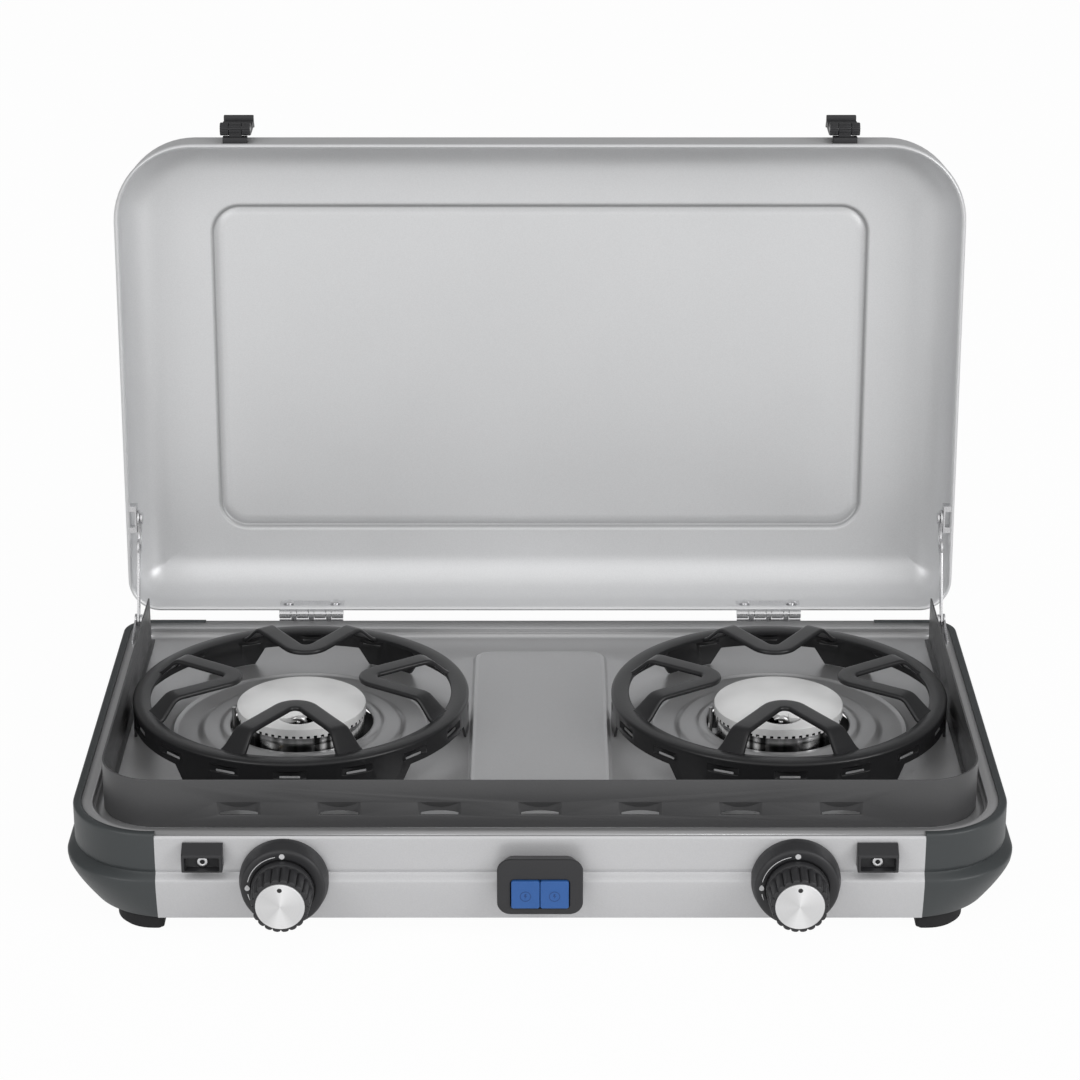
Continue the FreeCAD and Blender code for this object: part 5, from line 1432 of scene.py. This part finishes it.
@dataclass
class Latches:
    """Clips, catches and screws.

    Attributes:
        head: a screw's head, as (radius, back from the catch's floor).
        shank: the screw behind it.
        socket: a black plug in the bottom of its socket, painted shade in the hole.
        half: half a clip's width.
        knuckle_half: half the width of the bracket's knuckle, between the clip's ears.
        barrel_start: degrees about the pivot of the first rib round the barrel.
        barrel_turn: degrees from rib to rib.
        shoe_z: heights of the shoe's loops, the last one at its top.
    """

    latch_x: float = 174.0
    screw_z: float = 44.6
    floor_y: float = -143.6
    pivot_y: float = 170.171
    pivot_z: float = 350.353
    barrel_r: float = 3.5
    half: float = 8.6
    knuckle_half: float = 3.5
    knuckle_r: float = 3.45
    ear_gap: float = 0.3
    head: Profile = (
        (3.2, 0.1), (3.2, -0.7), (3.0, -1.2), (2.5, -1.6), (1.5, -1.6), (1.2, -1.4), (1.12, -0.4))
    shank: Profile = ((1.6, 9.0), (1.6, 0.1))
    socket: Profile = ((1.1, -0.45), (1.1, -1.0))
    rib_r: float = 0.55
    rib_end_r: float = 0.35
    rib_end: float = 0.3
    barrel_ribs: int = 6
    barrel_start: float = 208.0
    barrel_turn: float = 23.0
    arm_ribs: int = 5
    arm_rib_r: float = 1.5
    arm_rib_pitch: float = 3.0
    arm_rib_out: float = 5.6
    arm_rib_down: float = 1.7
    shoe_half: float = 7.0
    shoe_front: float = 164.5
    shoe_rear: float = 169.4
    shoe_r: float = 0.8
    shoe_z: tuple[float, ...] = (341.2, 346.2, 346.5)

    def screw(self, sign: int, shell: Shell, sockets: Shell) -> None:
        """A round-headed screw with a deep socket, and a black plug in it as painted shade."""
        centre = (sign * self.latch_x, self.floor_y, self.screw_z)
        shell.turned(self.head, centre, "Y", 32)
        shell.turned(self.shank, centre, "Y", 24)
        # black plug in the socket: painted shade
        sockets.turned(self.socket, centre, "Y", 24)

    def rod(self, *spans: tuple[float, float]) -> Shell:
        """One rib along Z, in pieces from place to place, with softened ends."""
        shell = Shell()
        for start, end in spans:
            profile = [(self.rib_end_r, start), (self.rib_r, start + self.rib_end),
                       (self.rib_r, end - self.rib_end), (self.rib_end_r, end)]
            shell.turned(profile, (0, 0, 0), "Z", 10)
        return shell

    def ribs(self, side: str) -> None:
        """Grip ribs round a clip's barrel and along its arm, and round the bracket's knuckle."""
        x = SIDES[side] * self.latch_x
        clip = "latch_clip_" + side
        lying = Matrix.Rotation(math.pi / 2, 4, "Y")
        about = DRAWN @ Matrix.Translation((x, self.pivot_y, self.pivot_z)) @ lying
        barrel = Repeat(self.barrel_ribs, self.barrel_r, self.barrel_start, self.barrel_turn)
        inner = self.knuckle_half + self.ear_gap
        ears = self.rod((-self.half, -inner), (inner, self.half))
        barrel.build("clip_ribs_" + side, ears, DARK_PLASTIC, clip, about, 50)
        knuckle = self.rod((-self.knuckle_half, self.knuckle_half))
        barrel.build("bracket_ribs_" + side, knuckle, DARK_PLASTIC, "lid", about, 50)
        bar = Shell()
        bar.loft([endways(circle(0, 0, self.arm_rib_r, 16), sx) for sx in (-self.half, self.half)], ends=True)
        first = (x, self.pivot_y + self.arm_rib_out, self.pivot_z - self.arm_rib_down)
        row = Repeat(self.arm_ribs, step=(0.0, self.arm_rib_pitch, 0.0))
        row.build("clip_arm_ribs_" + side, bar, DARK_PLASTIC, clip, DRAWN @ Matrix.Translation(first), 50)

    def bracket_shoe(self, side: str) -> None:
        """The bracket's wide foot and knuckle cover, below and between the clip's ears."""
        x = SIDES[side] * self.latch_x
        shell = Shell()
        foot = rounded_rect(self.shoe_half, self.shoe_front, self.shoe_rear, self.shoe_r, self.shoe_r, 4)
        shell.loft([[(x + px, py, z) for px, py in foot] for z in self.shoe_z], ends=True)
        cover = circle(self.pivot_y, self.pivot_z, self.knuckle_r, 32)
        shell.loft([endways(cover, x + sx) for sx in (-self.knuckle_half, self.knuckle_half)], ends=True)
        shell.build("bracket_shoe_" + side, DARK_PLASTIC, "lid")

    def build(self) -> None:
        """Builds and dresses both latches."""
        screws, sockets = Shell(), Shell()
        for side, sign in SIDES.items():
            merged_copy("latch_clip_" + side, DARK_PLASTIC, "latch_clip_" + side, 0.4)
            self.ribs(side)
            self.bracket_shoe(side)
            self.screw(sign, screws, sockets)
        merged_copy("latch_catches", DARK_PLASTIC, "base", 0.5)
        screws.build("catch_screws_turned", BRIGHT_STEEL, "base", ["catch_screws"], 40)
        # the black plugs in the screw sockets are painted shade
        sockets.build("screw_sockets", RUBBER, "base")


@dataclass
class Knobs:
    """Bezels, knobs, discs and spindles.

    Attributes:
        ink: the back and front of the printed scale, from the bezel's face.
        arcs: the scale's arcs, as (first angle, last angle, half width at the first, half width at the last).
        dots: its dots, as (angle, radius, how far its tip is drawn up).
        bezel_profile: the bezel's section, as (radius, y).
        core_profile: the same of the knob inside its ribs.
        rib_section: a rib's section, as (outwards, across).
        rib_taper: how it changes along the rib, as (along, share of outwards, share of across).
    """

    centre_x: float = 132.4
    centre_z: float = 32.8
    ribs: int = 20
    rib_foot_r: float = 13.5
    rib_start: float = 9.0
    rib_y: float = -156.3
    mark_r: float = 18.35
    face_y: float = -151.7
    ink: tuple[float, float] = (0.02, -0.09)
    arcs: tuple[tuple[float, float, float, float], ...] = (
        (101.0, 168.0, 0.17, 0.2), (190.0, 201.0, 0.26, 0.12))
    dots: tuple[tuple[float, float, float], ...] = ((90.0, 1.45, 0.0), (180.0, 1.3, 0.5))
    mark_steps: int = 24
    bezel_profile: Profile = (
        (23.2, -139.0), (23.2, -143.9), (23.05, -144.6), (22.0, -149.9), (21.75, -150.7), (21.3, -151.3),
        (20.6, -151.65), (20.0, -151.7), (17.1, -151.7), (16.8, -151.6), (16.65, -151.3), (16.6, -149.9),
        (4.2, -149.9), (4.2, -135.9), (12.0, -135.9), (12.0, -139.0), (23.2, -139.0))
    core_profile: Profile = (
        (15.7, -152.2), (16.1, -152.5), (16.2, -153.0), (16.15, -155.7), (15.9, -156.2), (15.2, -156.5),
        (14.3, -156.7), (14.1, -157.2), (13.8, -170.6), (13.5, -171.0), (13.1, -171.1), (12.85, -171.05),
        (12.75, -170.0))
    rib_section: Profile = (
        (-0.6, -2.2), (0.9, -2.15), (1.7, -1.75), (2.25, -1.05), (2.45, 0.0), (2.25, 1.05), (1.7, 1.75),
        (0.9, 2.15), (-0.6, 2.2))
    rib_taper: tuple[tuple[float, float, float], ...] = (
        (0.0, 0.3, 0.8), (0.5, 0.72, 0.93), (1.2, 0.95, 1.0), (2.2, 1.03, 1.0), (13.9, 0.66, 0.96),
        (14.4, 0.6, 0.93), (14.75, 0.42, 0.85))

    def bezel(self, side: str) -> None:
        """The raised ring behind a knob, with a shallow recess that the knob sits over."""
        shell = Shell()
        shell.turned(self.bezel_profile, (SIDES[side] * self.centre_x, 0.0, self.centre_z), "Y", 96)
        shell.build("knob_bezel_" + side + "_moulded", DARK_PLASTIC, "base", ["knob_bezel_" + side], 30)

    def arc_loops(self, arc: tuple[float, float, float, float], x: float) -> list[list[Vector]]:
        """Sections of a thin printed arc on the bezel's face, from angle to angle."""
        start, end, half_start, half_end = arc
        under, face = self.ink
        loops = []
        for i in range(self.mark_steps + 1):
            t = i / self.mark_steps
            angle = math.radians(start + (end - start) * t)
            width = half_start + (half_end - half_start) * t
            loop = []
            for off, y in ((-width, under), (-width, face), (width, face), (width, under)):
                reach = self.mark_r + off
                loop.append(Vector((x + reach * math.cos(angle), self.face_y + y,
                                    self.centre_z + reach * math.sin(angle))))
            loops.append(loop)
        return loops

    def marks(self, side: str) -> None:
        """The printed scale: a dot for off, an arc and a drop for the flame."""
        x = SIDES[side] * self.centre_x
        shell = Shell()
        for arc in self.arcs:
            shell.loft(self.arc_loops(arc, x), ends=True)
        for angle, radius, point in self.dots:
            cx = x + self.mark_r * math.cos(math.radians(angle))
            cz = self.centre_z + self.mark_r * math.sin(math.radians(angle))
            outline = []
            for i in range(self.mark_steps):
                a = math.tau * i / self.mark_steps
                tip = point * max(0.0, math.sin(a)) ** 3
                narrow = 1 - tip * 0.4
                outline.append((cx + radius * narrow * math.cos(a), cz + radius * (math.sin(a) + tip)))
            shell.loft([upended(outline, self.face_y + y) for y in self.ink], ends=True)
        shell.build("bezel_marks_" + side, PRINT, "base")

    def knob(self, side: str) -> None:
        """The knob's collar and core, and the ribs set round it."""
        x = SIDES[side] * self.centre_x
        core = Shell()
        core.turned(self.core_profile, (x, 0.0, self.centre_z), "Y", 96)
        core.build("knob_core_" + side, DARK_PLASTIC, "knob_" + side, ["knob_" + side], 40)
        rib = Shell()
        rib.loft([[(out * (tall if out > 0 else 1.0), across * wide, z) for out, across in self.rib_section]
                  for z, tall, wide in self.rib_taper], ends=True)
        spot = upright(x, self.rib_y, self.centre_z)
        fan = Repeat(self.ribs, self.rib_foot_r, self.rib_start, 360 / self.ribs)
        fan.build("knob_ribs_" + side, rib, DARK_PLASTIC, "knob_" + side, spot, 40)

    def build(self) -> None:
        """Builds and dresses both controls."""
        for side, sign in SIDES.items():
            middle = (sign * self.centre_x * MM, middle_of_body(), self.centre_z * MM)
            disc = TurnedDisc("turned disc " + side, "brushed_disc", (0.8, 0.8, 0.805), 0.34, middle)
            self.bezel(side)
            self.marks(side)
            self.knob(side)
            merged_copy("knob_cap_" + side, disc, "knob_" + side, 0.35, segments=3)
            coat(BRIGHT_STEEL, "valve_stem_" + side)


@dataclass
class Ignition:
    """Housing, buttons, spark units and leads.

    Attributes:
        ink: the back and front of an icon, from the button's face.
        housing_tall: half the housing's height.
        housing: its outside, as (y, inwards).
        pocket_tall: half the height of the pocket that holds the buttons.
        pocket: its inside, as (y, outwards).
        bolt: the spark's outline about the icon's middle.
    """

    button_x: float = 7.5
    icon_z: float = 28.9
    face_y: float = -153.1
    icon_r: float = 2.7
    icon_line: float = 0.2
    ink: tuple[float, float] = (0.02, -0.06)
    housing_z: float = 33.5
    housing_half: float = 22.5
    housing_tall: float = 16.2
    housing_r: float = 7.0
    housing: Profile = (
        (-140.6, 3.6), (-149.8, 0.6), (-150.9, 0.3), (-151.6, 0.6), (-151.9, 1.4))
    pocket_z: float = 29.7
    pocket_half: float = 14.85
    pocket_tall: float = 7.9
    pocket_r: float = 1.6
    pocket: Profile = ((-151.9, 0.7), (-151.5, 0.35), (-143.9, 0.35))
    bolt: Profile = (
        (-0.4, 1.5), (0.6, 1.5), (0.15, 0.35), (0.85, 0.35), (-0.45, -1.6), (-0.05, -0.2), (-0.75, -0.2))

    def icon(self, side: str) -> None:
        """A faint ring with a spark on a button's face."""
        x = SIDES[side] * self.button_x
        under, face = self.ink
        inner, outer = self.icon_r - self.icon_line, self.icon_r + self.icon_line
        loops = []
        for radius, y in ((inner, under), (inner, face), (outer, face), (outer, under)):
            loops.append(upended(circle(x, self.icon_z, radius, 32), self.face_y + y))
        shell = Shell()
        shell.loft(loops, round_trip=True)
        bolt = [(x + bx, self.icon_z + bz) for bx, bz in self.bolt]
        shell.loft([upended(bolt, self.face_y + y) for y in self.ink], ends=True)
        shell.build("button_icon_" + side, ICON_BLUE, "igniter_button_" + side)

    def frame(self) -> None:
        """The housing round the buttons, narrower towards the panel."""
        loops = []
        for y, inset in self.housing:
            half, tall = self.housing_half - inset, self.housing_tall - inset
            radius = self.housing_r - inset / 2
            loops.append(upended(rounded_rect(half, -tall, tall, radius, radius, 8), y, self.housing_z))
        for y, room in self.pocket:
            half, tall = self.pocket_half + room, self.pocket_tall + room
            radius = self.pocket_r + room
            loops.append(upended(rounded_rect(half, -tall, tall, radius, radius, 8), y, self.pocket_z))
        shell = Shell()
        shell.loft(loops, ends=True)
        shell.build("igniter_housing_tapered", DARK_PLASTIC, "base", ["ignition_housing"], 40)

    def build(self) -> None:
        """Builds and dresses the igniter."""
        self.frame()
        for side in SIDES:
            merged_copy("igniter_button_" + side, BLUE_PLASTIC, "igniter_button_" + side, 0.5)
            self.icon(side)
        merged_copy("piezo_units", DARK_PLASTIC, "base", 0.3)
        coat(RUBBER, "ignition_leads")


@dataclass
class GasLine:
    """Inlet, manifold, valves and injectors.

    Attributes:
        nuts: where each nut starts.
        nut: a nut's section, as (radius, along).
        stub: the inlet's section, as (radius, y).
        ridge: the section of one ridge of its thread, as (radius, along).
    """

    inlet_x: float = 170.0
    inlet_z: float = 19.8
    nuts: tuple[float, ...] = (135.9, 140.8)
    nut: Profile = ((9.2, 0.0), (10.0, 0.6), (10.0, 3.4), (9.2, 4.0))
    stub: Profile = (
        (7.35, 139.9), (7.35, 153.2), (6.9, 153.8), (3.2, 153.8), (2.8, 153.4), (2.8, 144.8))
    ridge: Profile = ((7.2, 0.0), (7.9, 0.45), (7.9, 0.6), (7.2, 1.05), (7.2, 0.0))
    ridges: int = 7
    pitch: float = 1.15
    thread_y: float = 145.0

    def inlet(self) -> None:
        """The threaded stub with its two hexagon nuts."""
        shell = Shell()
        for start in self.nuts:
            shell.turned(self.nut, (self.inlet_x, start, self.inlet_z), "Y", 6)
        shell.turned(self.stub, (self.inlet_x, 0.0, self.inlet_z), "Y", 40)
        shell.build("gas_inlet_turned", BRASS, "base", ["gas_inlet"], 30)
        ridge = Shell()
        ridge.turned(self.ridge, (0, 0, 0), "Z", 40)
        to_rear = Matrix.Rotation(-math.pi / 2, 4, "X")
        back = DRAWN @ Matrix.Translation((self.inlet_x, self.thread_y, self.inlet_z)) @ to_rear
        thread = Repeat(self.ridges, step=(0.0, 0.0, self.pitch))
        thread.build("inlet_thread", ridge, BRASS, "base", back, 30)

    def build(self) -> None:
        """Dresses the gas line."""
        self.inlet()
        merged_copy("gas_manifold", TUBE_STEEL, "base", 0.2)
        for side in SIDES:
            merged_copy("gas_valve_" + side, BRASS, "base", 0.3)
        coat(BRASS, "injectors")
        coat(BRASS, "sensor_lines")


# ---- studio -----------------------------------------------------------------------------------------------
@dataclass(frozen=True)
class Lamp:
    """A large soft square lamp that faces a point over the middle of the floor.

    Attributes:
        name: its name.
        place: where it stands, in metres.
        aim: the height of the point that it faces, in metres.
        size: its side, in metres.
        watts: its power.
    """

    name: str
    place: tuple[float, float, float]
    aim: float
    size: float
    watts: float

    def build(self) -> None:
        """Makes the lamp."""
        data = bpy.data.lights.new(self.name, "AREA")
        data.size = self.size
        data.energy = self.watts
        lamp = bpy.data.objects.new(self.name, data)
        lamp.location = self.place
        heading = Vector((0.0, 0.0, self.aim)) - Vector(self.place)
        lamp.rotation_euler = heading.to_track_quat("-Z", "Y").to_euler()
        bpy.context.scene.collection.objects.link(lamp)


@dataclass
class Studio:
    """Camera, floor, world and lamps."""

    camera_y: float = -1623.5
    camera_z: float = 813.5
    camera_pitch: float = 68.24
    lens: float = 107.277
    sensor: float = 36.0
    far: float = 60.0
    floor_half: float = 12.0
    floor_seen: float = 0.97
    floor_mirrored: float = 0.6
    fill: float = 0.27
    front_glow: float = 0.86
    lamps: tuple[Lamp, ...] = (
        Lamp("top", (0.1, -0.5, 2.4), 0.05, 2.2, 5), Lamp("front_left", (-1.7, -1.9, 1.5), 0.15, 1.2, 14),
        Lamp("front_right", (1.9, -1.4, 1.2), 0.15, 1.2, 22))

    def camera(self) -> None:
        """Makes the camera."""
        data = bpy.data.cameras.new("camera")
        data.lens = self.lens
        data.sensor_width = self.sensor
        data.clip_end = self.far
        camera = bpy.data.objects.new("camera", data)
        camera.location = DRAWN @ Vector((0.0, self.camera_y, self.camera_z))
        camera.rotation_euler = (math.radians(self.camera_pitch), 0.0, 0.0)
        bpy.context.scene.collection.objects.link(camera)
        bpy.context.scene.camera = camera

    def floor(self) -> None:
        """Makes the pale floor, white to the camera and to reflections, with the object's faint shadow."""
        tree = Tree("pale floor")
        rays = tree.node("ShaderNodeLightPath")
        camera = Value(tree, rays.outputs["Is Camera Ray"])
        glossy = Value(tree, rays.outputs["Is Glossy Ray"])
        speck = tree.noise(40.0, 3.0)
        grey = tree.mix(speck, (0.8, 0.8, 0.8), (0.84, 0.84, 0.84))
        matt = tree.value("ShaderNodeBsdfDiffuse", {}, {"Color": grey})
        glow = tree.value("ShaderNodeEmission", {}, {"Color": (1, 1, 1, 1), "Strength": 1.0})
        white = camera * self.floor_seen + glossy * self.floor_mirrored
        mixed = tree.value("ShaderNodeMixShader", {}, {0: white, 1: matt, 2: glow})
        tree.node("ShaderNodeOutputMaterial", {}, {"Surface": mixed})
        mesh = bpy.data.meshes.new("floor")
        half = self.floor_half
        corners = [(-half, -half, 0), (half, -half, 0), (half, half, 0), (-half, half, 0)]
        mesh.from_pydata(corners, [], [(0, 1, 2, 3)])
        mesh.materials.append(tree.material)
        floor = bpy.data.objects.new("floor", mesh)
        bpy.context.scene.collection.objects.link(floor)

    def world(self) -> None:
        """Makes the world: white to the camera, and a soft fill that is brightest from the front."""
        world = bpy.data.worlds.new("studio")
        world.use_nodes = True
        graph = Graph(world.node_tree)
        camera = graph.value("ShaderNodeLightPath", output="Is Camera Ray")
        white = graph.value("ShaderNodeBackground", {}, {"Color": (1, 1, 1, 1), "Strength": 1.0})
        heading = graph.value("ShaderNodeTexCoord", output="Generated")
        y = graph.value("ShaderNodeSeparateXYZ", {}, {0: heading}, "Y")
        front = y.do("MAXIMUM", y * -1.0, 0.0)
        fill = graph.value("ShaderNodeBackground", {},
                           {"Color": (1, 1, 1, 1), "Strength": front * self.front_glow + self.fill})
        mixed = graph.value("ShaderNodeMixShader", {}, {0: camera, 1: fill, 2: white})
        graph.node("ShaderNodeOutputWorld", {}, {"Surface": mixed})
        bpy.context.scene.world = world

    def build(self) -> None:
        """Sets the studio up."""
        self.camera()
        self.floor()
        self.world()
        for lamp in self.lamps:
            lamp.build()
        bpy.context.scene.view_settings.view_transform = "Standard"


def main() -> None:
    """Builds the stove and the studio round it."""
    logging.basicConfig(level=logging.INFO, format="%(name)s %(message)s")
    for assembly in (Studio(), Lid(), Deck(), BodyShell(), Burners(), PanSupports(), Windscreen(), Stays(),
                     Latches(), Knobs(), Ignition(), GasLine()):
        log.info("building %s", type(assembly).__name__)
        assembly.build()


if __name__ == "__main__":
    main()
